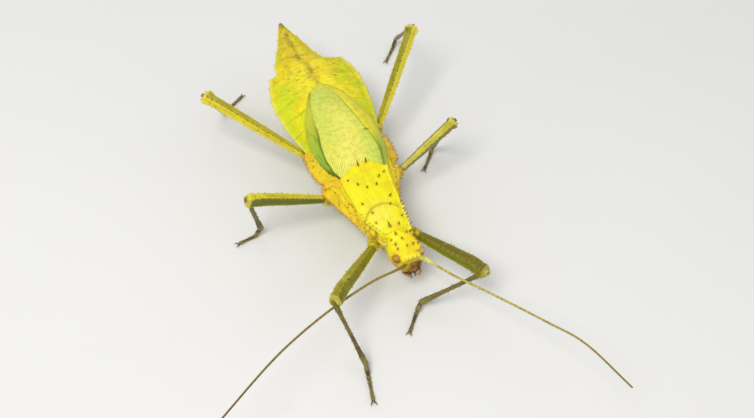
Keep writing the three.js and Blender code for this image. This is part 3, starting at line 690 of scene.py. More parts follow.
def trunk_relief(y, x, turn, behind, points):
    """Height of the skin above the plain trunk shape, in millimetres."""
    side = np.abs(turn)
    abdomen = ease(y, WAIST - 0.2, WAIST + 0.5)
    thorax = 1 - abdomen
    notum = thorax * (1 - behind)
    hip_notch = ridges(y, (0.2, 0.9, -0.9), (2.6, 1.3, 0.35)) * bump(side, 2.0, 0.3)
    rims = ridges(side, (2.0, 0.05, 0.3), (2.2, 0.08, -0.22), (1.8, 0.07, -0.16))
    lumps = 0.16 * fractal(points, 3.4, 11) + 0.07 * fractal(points, 1.1, 23) + thorax * hip_notch
    lumps = lumps * lerp(1.0, 0.55, notum * ease(side, 2.3, 1.7))
    height = abdomen * abdomen_relief(y, x, side, points) + notum * notum_relief(y, x, side)
    return (height + thorax * flank_relief(y, side) + rims + lumps) * ease(y, TAIL + 0.4, TAIL - 6) ** 0.3


def abdomen_tint(y, x, out, points):
    """The upper side of the abdomen: lime sides, an ochre rear, a brown middle line and segment borders."""
    streaks = blotch(points * vec(0.55, 1.5, 1), 2.2, 55, 0.05, 0.4)
    dashes = blotch(points * vec(0.6, 1.8, 1), 1.0, 57, 0.22, 0.42)
    middle = bump(x, 0, 1.3) * ease(y, 30, 44) * blotch(points, 3.4, 56, -0.5, 0.3)
    return coat(points, BACK.base,
                (GOLD, 0.6 * blotch(points, 6.5, 51, 0.15, 0.5)),
                (LIME, 0.95 * blotch(points, 6, 52, -0.15, 0.25) * ease(out, 0.25, 0.7)),
                (BACK.side, 0.7 * bump(out, 0.86, 0.12) * ease(y, 68, 52)),
                (OCHRE, 0.85 * ease(y, 44, 70) * lerp(0.5, 1, blotch(points, 4, 53, -0.3, 0.3))),
                (BACK.rust, 0.25 * blotch(points, 2.6, 54, 0.25, 0.5) * ease(y, 34, 54)),
                (BACK.streak, 0.3 * streaks * ease(out, 0.2, 0.4)),
                (BACK.dash, 0.7 * dashes * ease(y, 36, 52) * ease(out, 0.85, 0.6)),
                (OLIVE, 0.32 * bump(segment_share(y), 0.02, 0.05)),
                (RIDGE, 0.8 * middle),
                (BACK.tip, 0.8 * ease(y, 83, 86.5)))


def thorax_tint(y, x, side, behind, points):
    """Lemon notum plates with a paler front, painted shade round each spine and a painted shadow line outside
    the plates' rims, over orange flanks.
    """
    pleura = coat(points, PLEURA.base,
                  (ORANGE, 0.6 * blotch(points, 3.2, 62, -0.1, 0.35)),
                  (PLEURA.warm, 0.8 * blotch(points, 4, 64, 0.0, 0.35)),
                  (PLEURA.speck, 0.6 * blotch(points, 1.3, 63, 0.2, 0.45)))
    shade_round_spines = sum(bump(np.hypot(x - foot_x, y - foot_y), 0, 0.6) for foot_x, foot_y, *_ in NOTUM_SPINES)
    rings = [(THORAX.ring, 0.7 * bump(np.hypot(y - ring_y, 3 * (side - 1.45)), 1.3, 0.3)
              * ease(side, 1.05, 1.2) * ease(side, 1.95, 1.8)) for ring_y in (-31.4, -29.2)]
    return coat(points, LEMON,
                (GOLD, 0.6 * blotch(points, 5, 61, 0.1, 0.45)),
                (THORAX.pale, 0.7 * bump(y, -26, 4.5) * bump(x, -1.5, 4)),
                (THORAX.shade, 0.4 * blotch(points * vec(1, 0.5, 1), 2.4, 70, 0.1, 0.4)),
                # Painted shadow: a dark line just outside the raised rim of the notum plates.
                (OLIVE, 0.3 * bump(side, 1.1, 0.08)),
                # Painted shade round the foot of each spine.
                (THORAX.spine_foot, 0.7 * np.clip(shade_round_spines, 0, 1)),
                (pleura, ease(side, 1.06, 1.22)),
                (pleura, behind),
                (THORAX.joint, 0.6 * bump(behind_joint(x, y), 0, 0.5)),
                *rings)


def trunk_tint(y, x, turn, behind, points):
    side = np.abs(turn)
    abdomen = ease(y, WAIST - 1, WAIST + 1)
    top = paint(thorax_tint(y, x, side, behind, points),
                abdomen_tint(y, x, np.abs(x) / trunk_half(y), points), abdomen)
    return coat(points, BELLY,
                (OLIVE, 0.55 * blotch(points, 3.2, 41, 0.0, 0.4)),
                (BELLY_PALE, 0.6 * blotch(points, 6, 42, -0.1, 0.3)),
                (top, ease(side, 2.25, 1.95)),
                (coat(points, PINKISH, (RIM, abdomen)), 0.8 * bump(side, 2.0, 0.06)))


def back_point(x, y):
    """Points on the upper side of the trunk and the directions that point out of it there. x is
    measured from the middle line."""
    turns = np.linspace(0, 2, 161)
    points, normals = [], []
    for offset, station in np.broadcast(x, y):
        xs, zs, _ = trunk_surface(np.full_like(turns, station), turns)
        slope = np.gradient(zs, xs)[min(np.searchsorted(xs, abs(offset)), 160)]
        points.append(vec(middle_x(station) + offset, station + ring_turn(station) * offset,
                          np.interp(abs(offset), xs, zs)))
        normals.append(unit(vec(-np.sign(offset) * slope, 0, 1)))
    return np.array(points), np.array(normals)


# Long spines of the back: distance from the middle line, station, length, and lean to the side and rear.
NOTUM_SPINES = [
    (-1.6, -4.2, 2.9, 0.0, 0.35), (1.6, -3.9, 3.0, 0.0, 0.35),
    (-4.1, -11.8, 1.8, -0.3, 0.3), (4.4, -11.1, 1.9, 0.3, 0.3),
    (-1.4, -14.2, 1.6, -0.1, 0.2), (2.3, -14.1, 1.7, 0.1, 0.2),
    (-5.6, -19.8, 1.7, -0.4, 0.1), (5.1, -19.9, 1.9, 0.4, 0.1),
    (-3.9, -24.6, 1.2, -0.2, 0.2), (3.6, -23.4, 1.3, 0.2, 0.2),
    (-1.7, -31.6, 2.8, -0.2, 0.85), (1.6, -31.9, 1.4, 0.2, 0.6),
    (-6.9, -8.6, 1.2, -0.5, 0.2), (7.0, -9.4, 1.4, 0.5, 0.2),
    (-4.9, -28.6, 0.9, -0.5, 0.1), (4.9, -28.9, 1.1, 0.5, 0.1),
]
SPINE = tones(notum_foot=(176, 158, 20), notum_tip=(84, 74, 14), flank_tip=(92, 54, 20),
              olive_tip=(96, 84, 24), pale_tip=(250, 246, 170), speck_tip=(150, 128, 30),
              edge_tip=(150, 124, 50), pronotum_tip=(104, 62, 24), mesothorax_tip=(96, 56, 24),
              metathorax_tip=(110, 66, 28),
              collar_foot=(250, 240, 150), collar_tip=(92, 50, 20), collar_lobe=(250, 230, 40))
# Rows of spines that make a saw of each side edge: start, end, count, length, colours.
SAW_ROWS = [(NECK + 0.8, PRONOTUM_REAR - 0.5, 9, 1.25, RIM, SPINE.pronotum_tip),
            (PRONOTUM_REAR + 0.6, MESONOTUM_REAR, 20, 1.15, PINKISH, SPINE.mesothorax_tip),
            (-2.4, WAIST - 1.5, 20, 1.05, PINKISH, SPINE.metathorax_tip)]


def spine_rows(table):
    """The columns of a table of spines: x, y, length, and the aim's lean."""
    x, y, length, lean_x, lean_y = (np.array(column) for column in zip(*table))
    return x, y, length, np.stack([lean_x, lean_y, 0 * x], axis=-1)


def edge_saw(shell, rng, edge_point):
    for start, end, count, length, base, tip in SAW_ROWS:
        for side in (-1, 1):
            y = np.linspace(start, end, count) + rng.uniform(-0.3, 0.3, count)
            root = edge_point(y, side) + vec(0, 0, 1) * rng.uniform(-0.3, 0.3, count)[:, None]
            aim = np.stack([np.full(count, side), rng.uniform(-0.3, 0.5, count),
                            rng.uniform(-0.2, 0.5, count)], axis=-1)
            size = length * rng.uniform(0.45, 1.05, count)
            add_thorns(shell, root, aim, size, 0.3 * size + 0.12, base, tip, 0.05, 0.35)


def flank_thorns(shell, rng):
    for side in (-1, 1):
        y = np.concatenate([np.linspace(-21, -5.5, 11), np.linspace(-32, -24, 5), np.linspace(1, 15, 5)])
        plate = np.where(y > 0, back_plate(y), notum_plate(y))
        out = lerp(plate, trunk_half(y), lerp(0.3, 0.75, rng.random(len(y))))
        points, normals = back_point(side * out, y)
        size = rng.uniform(0.7, 1.4, len(y))
        add_thorns(shell, points, normals + vec(side * 0.4, 0.1, 0.2), size, 0.28 * size + 0.12, GOLD,
                   SPINE.flank_tip, 0.1, 0.25)


def segment_thorns(shell, rng, edge_point, start, end):
    """An abdominal segment's two pairs of tubercles, its tiny grains, and the teeth of its side edges."""
    rear = end - 0.7
    for share, length, tip in ((0.3, 0.95, SPINE.pale_tip), (0.62, 0.6, SPINE.olive_tip)):
        points, normals = back_point(vec(-share, share) * trunk_half(rear), rear)
        add_thorns(shell, points, normals + vec(0, 0.8, 0), length, 0.45, GOLD, tip, 0.1, 0.25)
    y = rng.uniform(start + 0.8, end - 0.8, 26)
    points, normals = back_point(rng.uniform(-0.92, 0.92, len(y)) * trunk_half(y), y)
    size = rng.uniform(0.2, 0.42, len(y))
    add_thorns(shell, points, normals, size, 0.8 * size, GOLD, SPINE.speck_tip, 0.0, 0.4)
    for side in (-1, 1):
        y = vec(lerp(start, end, 0.3), lerp(start, end, 0.6), rear, end - 0.35)
        add_thorns(shell, edge_point(y, side), vec(side, 0.9, 0), [0.25, 0.35, 0.5, 0.85],
                   [0.24, 0.28, 0.34, 0.42], RIM, SPINE.edge_tip, 0.0, 0.5)


def trunk_thorns(shell, rng, rows, edges):
    """Spines of the back and the sides. edges holds the skin's right and left edge at every row."""

    def edge_point(y, side):
        line = edges[(side + 1) // 2]
        return np.stack([np.interp(y, rows, line[:, k]) for k in range(3)], axis=-1)

    x, y, length, lean = spine_rows(NOTUM_SPINES)
    points, normals = back_point(x, y)
    add_thorns(shell, points, normals + lean, 0.9 * length, 0.28 + 0.12 * length,
               SPINE.notum_foot, SPINE.notum_tip, 0.1, 0.04)
    edge_saw(shell, rng, edge_point)
    flank_thorns(shell, rng)
    for start, end in zip(SEGMENT_STARTS, SEGMENT_ENDS):
        segment_thorns(shell, rng, edge_point, start, end)


def add_collar(shell, rng):
    """Lobes of the pleura by the front hips, and the spines along the edges of the pronotum."""
    for side in (-1, 1):
        lobe = vec(middle_x(-33.0) + side * 5.6, -31.2, 16.6)
        add_lobe(shell, lobe, np.eye(3), (1.2, 1.9, 1.5), SPINE.collar_lobe, 66)
        y = np.linspace(-23.4, -33.0, 8) + rng.uniform(-0.3, 0.3, 8)
        points, _ = back_point(side * 0.93 * notum_plate(y), y)
        length = rng.uniform(1.3, 1.9, 8) * (1 if side > 0 else 0.6)
        add_thorns(shell, points, vec(side, 0, 0.75), length, 0.3 * length,
                   SPINE.collar_foot, SPINE.collar_tip, 0.1, 0.12)


def trunk():
    rng = np.random.default_rng(7)
    turn = np.concatenate([-SIDE_TURNS[::-1][1:-1], SIDE_TURNS])[None]
    y, turn = np.broadcast_arrays(trunk_stations()[:, None], turn)
    x, z, behind = trunk_surface(y, np.abs(turn))
    x = x * np.sign(turn)
    tongue = ease(y, -28.5, NECK) * bump(np.abs(turn), 1.35, 0.3)
    brow = ease(y, -30.5, NECK) * ease(np.abs(turn), 1.3, 0.9)
    base = np.stack([middle_x(y) + x * (1 + 0.05 * tongue), y + ring_turn(y) * x - 2.7 * tongue,
                     z - 0.5 * tongue - 1.1 * brow], axis=-1)
    points = raised(base, trunk_relief(y, x, turn, behind, base))
    skin = trunk_tint(y, x, turn, behind, base)
    shell = Shell()
    shell.grid(points, paint(skin, THORAX.tongue, 0.8 * ease(tongue, 0.8, 0.97)))
    edges = [points[:, np.argmin(np.abs(turn[0] - edge))] for edge in (-2, 2)]
    trunk_thorns(shell, rng, y[:, 0], edges)
    add_collar(shell, rng)
    shell.build("trunk_skin", skin_material, "body",
                ["prothorax", "mesothorax", "metathorax", "ovipositor_upper",
                 *[f"abdomen_{k}" for k in range(2, 11)]])


BEAK_TIP = srgb(118, 102, 66)


def beak():
    """The lower half of the beak at the tail: a keeled boat under the tapering rings."""
    y, angle = np.broadcast_arrays(np.linspace(66.6, TAIL + 0.4, 150)[:, None], circle(96, -math.pi))
    t = ramp(y, BEAK_START, TAIL + 0.6)
    emerging = ease(t, 0.0, 0.3)
    half = lerp(6.4, 0.6, t ** 1.2) * lerp(0.5, 1, emerging)
    keel = trunk_bottom(np.minimum(y, TAIL)) + 0.2 + 1.9 * (1 - emerging)
    rise = np.cos(angle) * lerp(1, 0.5, ease(np.cos(angle), -0.2, 0.4)) - 0.3
    base = np.stack([middle_x(y) + half * np.sin(angle), y, keel + lerp(2.6, 1, t) * rise], axis=-1)
    low = ease(np.cos(angle), 0.1, -0.4)
    ribs = 0.3 * bump(np.sin(angle), 0, 0.09) + 0.16 * bump(np.abs(np.sin(angle)), 0.72, 0.08)
    ribs = ribs + 0.12 * np.sin(y * 2.1) * ease(t, 0.1, 0.3)
    points = raised(base, 0.12 * fractal(base, 2.2, 67) + low * ribs)
    shell = Shell()
    shell.grid(points, coat(points, BELLY,
                            (OCHRE, blotch(points, 3, 68, -0.2, 0.3)),
                            (OLIVE, 0.5 * blotch(points, 1.2, 69, 0.1, 0.4)),
                            (BEAK_TIP, 0.8 * ease(t, 0.7, 1.0))))
    shell.build("beak_lower", skin_material, "body", ["ovipositor_lower"])


# ------------------------ wing cases

# The left case's edge on top of the right case, and the fold between its flat top and its steep
# side, both as x for a station y.
SEAM_Y = [-9, -3, 2, 6, 11, 16.5, 22, 27.5, 32.6, 38, 46]
SEAM_X = [-8.6, -10.1, -11.1, -11.6, -11.3, -10.3, -9.7, -8.7, -7.6, -5.6, -3.0]
FOLD_Y = [-8, -6, -2.7, 1, 4.3, 8, 11, 14, 18, 23, 27.5, 32.5, 38, 46]
FOLD_X = [6.8, 7.1, 7.9, 8.6, 8.8, 8.3, 7.5, 6.7, 6.1, 5.3, 4.6, 4.0, 2.6, 0.6]
# Half-widths of the two cases together, and the place of the dark stigma by the fold.
CASE_Y = [TEGMEN_START, -3, 0, 3, 7, 12, 17, 22, 27, 31, 34, 37, 40, 42.5, TEGMEN_END]
CASE_WIDTHS = [9.4, 10.5, 11.6, 12.8, 13.6, 14.1, 14.3, 13.8, 12.4, 10.7, 9.1, 7.7, 5.7, 3.4, 0.6]
STIGMA = (7.4, 11.6)
LEFT = tones(base=(236, 234, 92), rear=(206, 214, 66), seam_band=(216, 228, 84), centre=(252, 238, 106),
             front=(252, 240, 110), fold_band=(214, 234, 88), rear_end=(220, 216, 60), fold=(150, 158, 50),
             flank=(238, 226, 40), flank_shade=(216, 208, 34), flank_front=(190, 206, 40),
             flank_dark=(92, 124, 30), edge=(128, 122, 38), stigma=(62, 74, 22), seam=(96, 104, 34))
RIGHT = tones(base=(146, 196, 26), middle=(196, 198, 30), front=(124, 188, 16), rear=(210, 218, 50),
              vein=(156, 196, 56), blotch=(86, 112, 28), shade=(74, 96, 22), edge=(88, 62, 22))


def smooth_line(y, at, values):
    """Interpolates given values without corners."""
    fine = spline(np.stack([at, values], axis=-1), 240)
    return np.interp(y, fine[:, 0], fine[:, 1])[:, None]


def case_half(y):
    return np.interp(y, CASE_Y, CASE_WIDTHS)


def case_top(x, y):
    """Height of the vault that both wing cases make together."""
    rise = 2.4 * (1 - ramp(y, MESONOTUM_REAR, 18)) ** 1.6
    top = TEGMEN_TOP - rise - 3 * ramp(y, 20, TEGMEN_END) ** 2.2
    low = lerp(19.4, top - 1.6, ramp(y, 0, TEGMEN_END) ** 1.3)
    share = np.clip(np.abs(x) / np.maximum(case_half(y), 0.05), 0, 1)
    t = (1.8 - np.sqrt(3.24 - 3.2 * share)) / 1.6
    return bezier(top, top + 0.3, low, t)


def trunk_height(x, y):
    """Height of the back under a point of a wing case. Every row of x and y is one station."""
    across, height = back_section(y[:, :1], np.linspace(0, 2, 121)[None])
    return np.array([np.interp(np.abs(row), a, b) for row, a, b in zip(x - middle_x(y), across, height)])


def case_points(x, y):
    """The plain surface of the wing cases: their vault, and where that is lower, just over the back."""
    vault, back = case_top(x, y), trunk_height(x, y) + 0.45
    over = np.sqrt((back - vault) ** 2 + 0.2)
    return np.stack([x, y, (vault + back + over) / 2 - 0.1], axis=-1)


def build_case(side, base, lift, tints, row):
    """A wing case: a sheet with an upper side, a lower side and rounded edges. Its front is tucked
    under the mesonotum, and row numbers the lengthwise rows of its pattern."""
    x, y = base[..., 0], base[..., 1]
    tucked = ease(-behind_notum(x - middle_x(y), y), -0.2, 0.7)
    top = base + vec(0, 0, 1) * (lift - 1.5 * tucked)[..., None]
    normals = unit(np.cross(np.gradient(top, axis=1), np.gradient(top, axis=0)))
    thick = lerp(CASE_THICK, 0.5 * CASE_THICK, ease(top[:, :1, 1:2], 18, 32))
    lower = top[:, ::-6] - normals[:, ::-6] * thick
    edge = 0.5 * (top[:, -1:] + lower[:, :1]) + 0.4 * thick * unit(top[:, -1:] - top[:, -3:-2])
    other = 0.5 * (top[:, :1] + lower[:, -1:]) + 0.4 * thick * unit(top[:, :1] - top[:, 2:3])
    tints = np.concatenate([tints, row[..., None]], axis=-1)
    # The lower side takes the upper side's colours made darker, as painted shade.
    shaded_underside = tints[:, ::-6] * vec(0.8, 0.8, 0.8, 1)
    shell = Shell()
    shell.grid(np.concatenate([top, edge, lower, other], axis=1),
               np.concatenate([tints, tints[:, -1:], shaded_underside, tints[:, :1]], axis=1))
    shell.build(f"{side}_wing_case", tegmen_material, "tegmen", [f"tegmen_{side}"])


def vein_height(row, every):
    """Raised lengthwise veins along every so many rows of the pattern, and finer ones between them."""
    main = row / every
    return bump(main - np.round(main), 0, 0.11), 0.5 + 0.5 * np.cos(2 * math.pi * row)


def left_tint(base, across, down, beyond_fold, beyond_seam):
    """The yellow-green top with its pale centre, and the steep flank beyond the fold. across and
    down are shares of the way over the top and down the flank."""
    x, y = base[..., 0], base[..., 1]
    flank = coat(base, LEFT.flank,
                 (LEFT.flank_shade, blotch(base, 3, 76, -0.2, 0.3)),
                 (LEFT.flank_front, ease(y, 13, 7)),
                 (LEFT.flank_dark, 0.85 * ease(y, 9, 2) * bump(down, 0.22, 0.2)),
                 (LEFT.edge, 0.6 * bump(down, 0.98, 0.1)))
    stigma_x, stigma_y = x - STIGMA[0], y - STIGMA[1]
    return coat(base, LEFT.base,
                (LEFT.rear, 0.9 * ease(y, 12, 36) * lerp(0.5, 1, blotch(base, 7, 73, -0.3, 0.3))),
                (LEFT.seam_band, 0.8 * bump(across, 0.2, 0.25) * ease(y, 4, 12)),
                (LEFT.centre, 0.95 * bump(across, 0.58, 0.2) * ease(y, 34, 22)
                 * lerp(0.6, 1, blotch(base, 9, 74, -0.5, 0.3))),
                (LEFT.front, 0.8 * bump(y, 2, 7) * bump(across, 0.4, 0.35)),
                (LEFT.fold_band, 0.9 * bump(across, 0.9, 0.17) * ease(y, 14, 8)),
                (LEFT.rear_end, 0.7 * ease(y, 36, 42)),
                (LEFT.fold, 0.75 * bump(beyond_fold, 0.0, 0.4) * ease(y, 40, 34)),
                (flank, 1 - ease(beyond_fold, 0.3, -0.3)),
                (LEFT.stigma, 0.95 * bump(stigma_x, 0, 1.25) * bump(stigma_y - 0.25 * stigma_x, 0, 0.5)),
                # Painted shadow: a dark line along the left case's edge where it steps over the right case,
                # towards the front.
                (LEFT.seam, 0.7 * bump(beyond_seam, 0.0, 0.22) * ease(y, 24, 16)))


def left_case():
    y = np.concatenate([np.linspace(-8.6, 40, 300), np.linspace(40.15, TEGMEN_END - 0.05, 30)])
    half = case_half(y)[:, None]
    seam = np.maximum(smooth_line(y, SEAM_Y, SEAM_X), -half)
    fold = np.clip(smooth_line(y, FOLD_Y, FOLD_X), seam + 0.2, half - 0.05)
    x, y = np.broadcast_arrays(lerp(seam, half, np.linspace(0, 1, 216)[None]), y[:, None])
    base = case_points(x, y)
    across = (x - seam) / np.maximum(fold - seam, 0.1)
    down = np.clip((x - fold) / np.maximum(half - fold, 0.1), 0, 1)
    row = np.where(x < fold, 0.5 + (fold - x) / lerp(0.66, 0.5, ramp(y, 12, 40)), -0.5 - down * 11)
    main, fine = vein_height(row, 3)
    lift = 0.1 + lerp(0.1 * main + 0.03 * fine, 0.08 * main + 0.02 * fine, ease(x - fold, 0.3, -0.3))
    lift = lift + 0.16 * bump(x - fold, -0.1, 0.5) - 0.3 * bump(x - fold, 0.8, 0.5) * ease(y, 38, 20)
    lift = lift + 0.16 * bump(x - seam, 0.25, 0.3) + 0.12 * bump(half - x, 0.2, 0.25)
    lift = lift + 0.22 * fractal(base, 6.5, 71) + 0.05 * fractal(base, 1.4, 72)
    lift = lift + 0.3 * bump(across, 0.2, 0.12) * bump(y, 4, 9)
    build_case("left", base, lift, left_tint(base, across, down, x - fold, x - seam), row)


def right_case():
    y = np.linspace(-8.4, 42.2, 300)
    half = case_half(y)[:, None]
    seam = np.maximum(smooth_line(y, SEAM_Y, SEAM_X) + 0.9, -half + 0.25)
    share, y = np.broadcast_arrays(np.linspace(0, 1, 120)[None], y[:, None])
    x = lerp(-half, seam, share)
    base = case_points(x, y)
    width = seam + half
    visible = ramp(share * width, 0, np.maximum(width - 0.9, 0.1))
    under = ease(share * width, width - 1.1, width - 0.5)
    row = -0.5 - visible * 9
    main, fine = vein_height(row, 2)
    lift = 0.05 + 0.1 * main + 0.04 * fine + 0.12 * bump(x + half, 0.25, 0.25)
    lift = lift + 0.05 * fractal(base, 1.4, 82) - lerp(0.5, 0.2, ease(y, 10, 26)) * under
    lift = lift + 0.15 * fractal(base, 6.5, 81) * (1 - under)
    blotches = blotch(base * vec(1, 0.3, 1), 1.3, 83, 0.0, 0.3)
    skin = coat(base, RIGHT.base,
                (RIGHT.middle, ease(y, 6, 26)),
                (RIGHT.front, 0.8 * ease(y, 8, 0)),
                (RIGHT.rear, 0.9 * ease(y, 18, 30)),
                (RIGHT.vein, 0.5 * main),
                (RIGHT.blotch, 0.5 * blotches * ease(y, 30, 12)),
                # Painted shadow on the right case beside the left case's overlapping edge, towards the front.
                (RIGHT.shade, 0.85 * ease(visible, 0.72, 1.0) * ease(y, 26, 14)),
                (RIGHT.edge, 0.9 * bump(x + half, 0.0, 0.45) * ease(y, 14, 4)))
    build_case("right", base, lift, skin, row)


# ------------------------ head

HEAD_BACK = NECK - 0.3
BROW_T = 5 / 6
BEADS_Y = -42.2
SOCKETS = [vec(6.2, -42.5, 13.5), vec(-0.4, -42.9, 12.5)]
# Spines of the crown: x, y, length, lean to the side and rear.
CROWN_SPINES = [
    (-0.4, -34.5, 1.5, -0.3, 0.3), (3.6, -34.9, 1.1, 0.3, 0.3), (1.1, -36.5, 1.0, 0.0, 0.3),
    (-1.7, -37.4, 1.25, -0.3, 0.2), (4.4, -38.9, 0.9, 0.4, 0.2), (-1.5, -38.8, 1.05, -0.3, 0.1),
    (2.1, -39.0, 0.8, 0.1, 0.2), (5.6, -36.4, 0.9, 0.6, 0.2), (-2.6, -35.4, 0.8, -0.6, 0.2),
    (5.3, -40.9, 0.6, 0.4, -0.2), (5.3, -34.3, 1.4, 0.9, 0.1), (5.9, -35.6, 1.5, 0.9, 0.1),
    (6.2, -37.2, 1.3, 0.9, 0.0), (6.4, -38.6, 1.1, 0.9, 0.0),
]
HEAD = tones(base=(254, 242, 12), warm=(250, 224, 14), cheek=(224, 192, 24), low_cheek=(170, 134, 40),
             throat=(150, 138, 60), right_cheek=(214, 160, 30), beads=(255, 240, 70), face=(204, 178, 34),
             pink=(226, 172, 92), brown=(122, 82, 34), light_brown=(168, 120, 52), groove=(76, 46, 20),
             dark=(84, 66, 18), eye_rim=(150, 104, 26), socket=(150, 112, 38), spine_foot=(222, 146, 22),
             freckle=(140, 112, 30), thorn_foot=(214, 168, 26), thorn_tip=(100, 80, 14),
             under_eye=(66, 38, 16))


def eye_centre(side):
    return vec(middle_x(EYE_Y) + side * EYE_HALF_SPACING, EYE_Y, EYE_Z)


EYES = [eye_centre(side) for side in (-1, 1)]


def head_surface(angle, t):
    y = np.where(t < BROW_T, lerp(HEAD_BACK, BROW, t / BROW_T), lerp(BROW, HEAD_FRONT, ramp(t, BROW_T, 1)))
    half = HEAD_HALF * lerp(0.84, 1, ease(t, 0, 0.4)) * lerp(1, 0.58, ramp(t, 0.5, 1) ** 1.4)
    top = lerp(21.3, 15.7, ramp(t, 0, BROW_T) ** 1.5) - 4 * ramp(t, BROW_T, 1)
    bottom = lerp(9.6, 7.6, ease(t, 0, 0.6)) + 1.9 * ramp(t, 0.8, 1)
    across = np.sign(np.sin(angle)) * np.abs(np.sin(angle)) ** 0.8
    rise = np.sign(np.cos(angle)) * np.abs(np.cos(angle)) ** 0.75
    return np.stack([middle_x(y) + half * across, y, (top + bottom) / 2 + rise * (top - bottom) / 2], -1)


def head_relief(points, angle):
    x = points[..., 0] - middle_x(points[..., 1])
    y, z = points[..., 1], points[..., 2]
    above = ease(np.cos(angle), 0.1, 0.5)
    rings = sum(ridges(away_from(points, eye), (EYE_RADIUS + 0.15, 0.4, 0.42), (0, 1.0, -0.3))
                for eye in EYES)
    rings = rings + sum(ridges(away_from(points, socket), (1.05, 0.28, 0.35), (0, 0.7, -0.5))
                        for socket in SOCKETS)
    lip = ease(y, BEADS_Y - 0.6, BEADS_Y - 1.0) * ridges(np.abs(x - 0.3), (1.3, 0.5, 0.2), (2.1, 0.25, -0.25))
    beads = bump(y, BEADS_Y, 0.36) * (0.38 + 0.3 * np.cos(2 * math.pi * x / 1.6))
    beads = ease(np.abs(x), 3.6, 2.4) * (beads - 0.3 * bump(y, BEADS_Y - 0.52, 0.2))
    crown = 0.25 * bump(x, 0, 2.2) * bump(y, -38.4, 2.2) - 0.14 * bump(x, 0, 0.18) * ease(y, -41, -38)
    seams = 0.14 * bump(np.abs(x) - 0.42 * (y + 44), 0, 0.22) * ease(y, -41.5, -39)
    cheek = 0.25 * bump(z, 12.0, 0.8) * ease(np.abs(x), 3.5, 4.6) * ease(y, -34.5, -37)
    lumps = 0.1 * fractal(points, 2.6, 91) + 0.05 * fractal(points, 0.8, 92)
    return lumps + rings + lip + cheek + above * (beads + crown - seams)


def head_tint(points, angle):
    """A yellow crown with painted shade round each spine, cheeks painted darker towards the bottom and on the
    right as shade, painted shade below each eye, and a pink and brown face.
    """
    x = points[..., 0] - middle_x(points[..., 1])
    y, z = points[..., 1], points[..., 2]
    above = ease(np.cos(angle), 0.0, 0.35)
    face = ease(y, BEADS_Y - 0.2, BEADS_Y - 0.45) * above
    brown = coat(points, HEAD.brown,
                 (HEAD.light_brown, blotch(points, 1.5, 98, -0.2, 0.4)),
                 (HEAD.groove, 0.8 * bump(np.abs(x - 0.3), 2.1, 0.22) + 0.8 * bump(z, 11.9, 0.16)))
    wander = x + 0.9 * fractal(points, 1.6, 99)
    # Painted shade round the lower side of each eye.
    shades_below_eyes = [(HEAD.eye_rim, 0.8 * bump(away_from(points, eye), EYE_RADIUS + 0.1, 0.45)
                 * ease(z, 15.6, 14.2)) for eye in EYES]
    sockets = [(HEAD.socket, 0.8 * bump(away_from(points, socket), 0, 0.9)) for socket in SOCKETS]
    # Painted shade round the foot of each crown spine.
    spine_shades = [(HEAD.spine_foot, 0.6 * length * above
                   * bump(np.hypot(points[..., 0] - foot_x, y - foot_y), 0, 0.5))
                  for foot_x, foot_y, length, *_ in CROWN_SPINES]
    return coat(points, HEAD.base,
                (HEAD.warm, 0.8 * blotch(points, 3.5, 95, -0.1, 0.35)),
                # Painted shade: the head grows darker towards its lower side.
                (HEAD.cheek, 0.8 * ease(z, 15.6, 13.0)),
                (HEAD.low_cheek, 0.7 * ease(z, 13.2, 11.2)),
                (HEAD.throat, 0.7 * ease(z, 10.6, 8.6)),
                # Painted shade on the right side of the head.
                (HEAD.right_cheek, 0.7 * bump(x, -5.0, 1.1) * ease(y, -38, -40)),
                (HEAD.beads, 0.8 * bump(y, BEADS_Y + 0.25, 0.5) * above),
                (HEAD.face, 0.9 * face),
                (HEAD.pink, 0.85 * face * bump(x, 1.9, 1.8) * bump(y, BEADS_Y - 0.55, 0.25)),
                (brown, 0.92 * ease(y, BEADS_Y - 0.6, BEADS_Y - 1.1) * ease(wander, -2.4, -0.2)),
                (HEAD.dark, 0.85 * bump(away_from(points, vec(-0.5, -43.05, 13.0)), 0, 0.4)),
                *shades_below_eyes, *sockets, *spine_shades,
                (HEAD.freckle, 0.4 * blotch(points, 0.9, 96, 0.3, 0.5)))


def face_rows(rim):
    """Rows that close the head below the brow, from its rim to a point: a gently domed face."""
    centre = vec(middle_x(HEAD_FRONT), HEAD_FRONT, 10.7)
    share = np.linspace(0.04, 0.97, 24)[:, None, None]
    points = lerp(rim[None], centre, share)
    share, x, z = share[..., 0], points[..., 0] - centre[0], points[..., 2]
    ridge = 0.1 * fractal(points, 1.2, 97) + 0.1 * bump(np.abs(x), 1.2, 0.5) * bump(z, 11.0, 0.4)
    points[..., 1] -= 0.14 * (1 - (1 - share) ** 2) + ease(share, 0, 0.2) * ridge
    return points


def head():
    t, angle = np.broadcast_arrays(np.linspace(0.0, 1, 190)[:, None], circle(168, -math.pi))
    base = head_surface(angle, t)
    points = raised(base, head_relief(base, angle))
    face = face_rows(points[-1])
    shell = Shell()
    shell.grid(np.concatenate([points, face]),
               np.concatenate([head_tint(base, angle), head_tint(face, angle[:len(face)])]))
    x, y, length, lean = spine_rows(CROWN_SPINES)
    rows = np.argmin(np.abs(base[:, :1, 1] - y), axis=0)
    columns = np.argmin(np.abs(base[rows, :, 0] - x[:, None]) + 9 * (np.cos(angle[0]) < 0), axis=1)
    add_thorns(shell, points[rows, columns], lean + vec(0, 0, 1), length, 0.3 + 0.2 * length,
               HEAD.thorn_foot, HEAD.thorn_tip, 0.1, 0.1)
    shell.build("head_skin", skin_material, "body", ["head"])


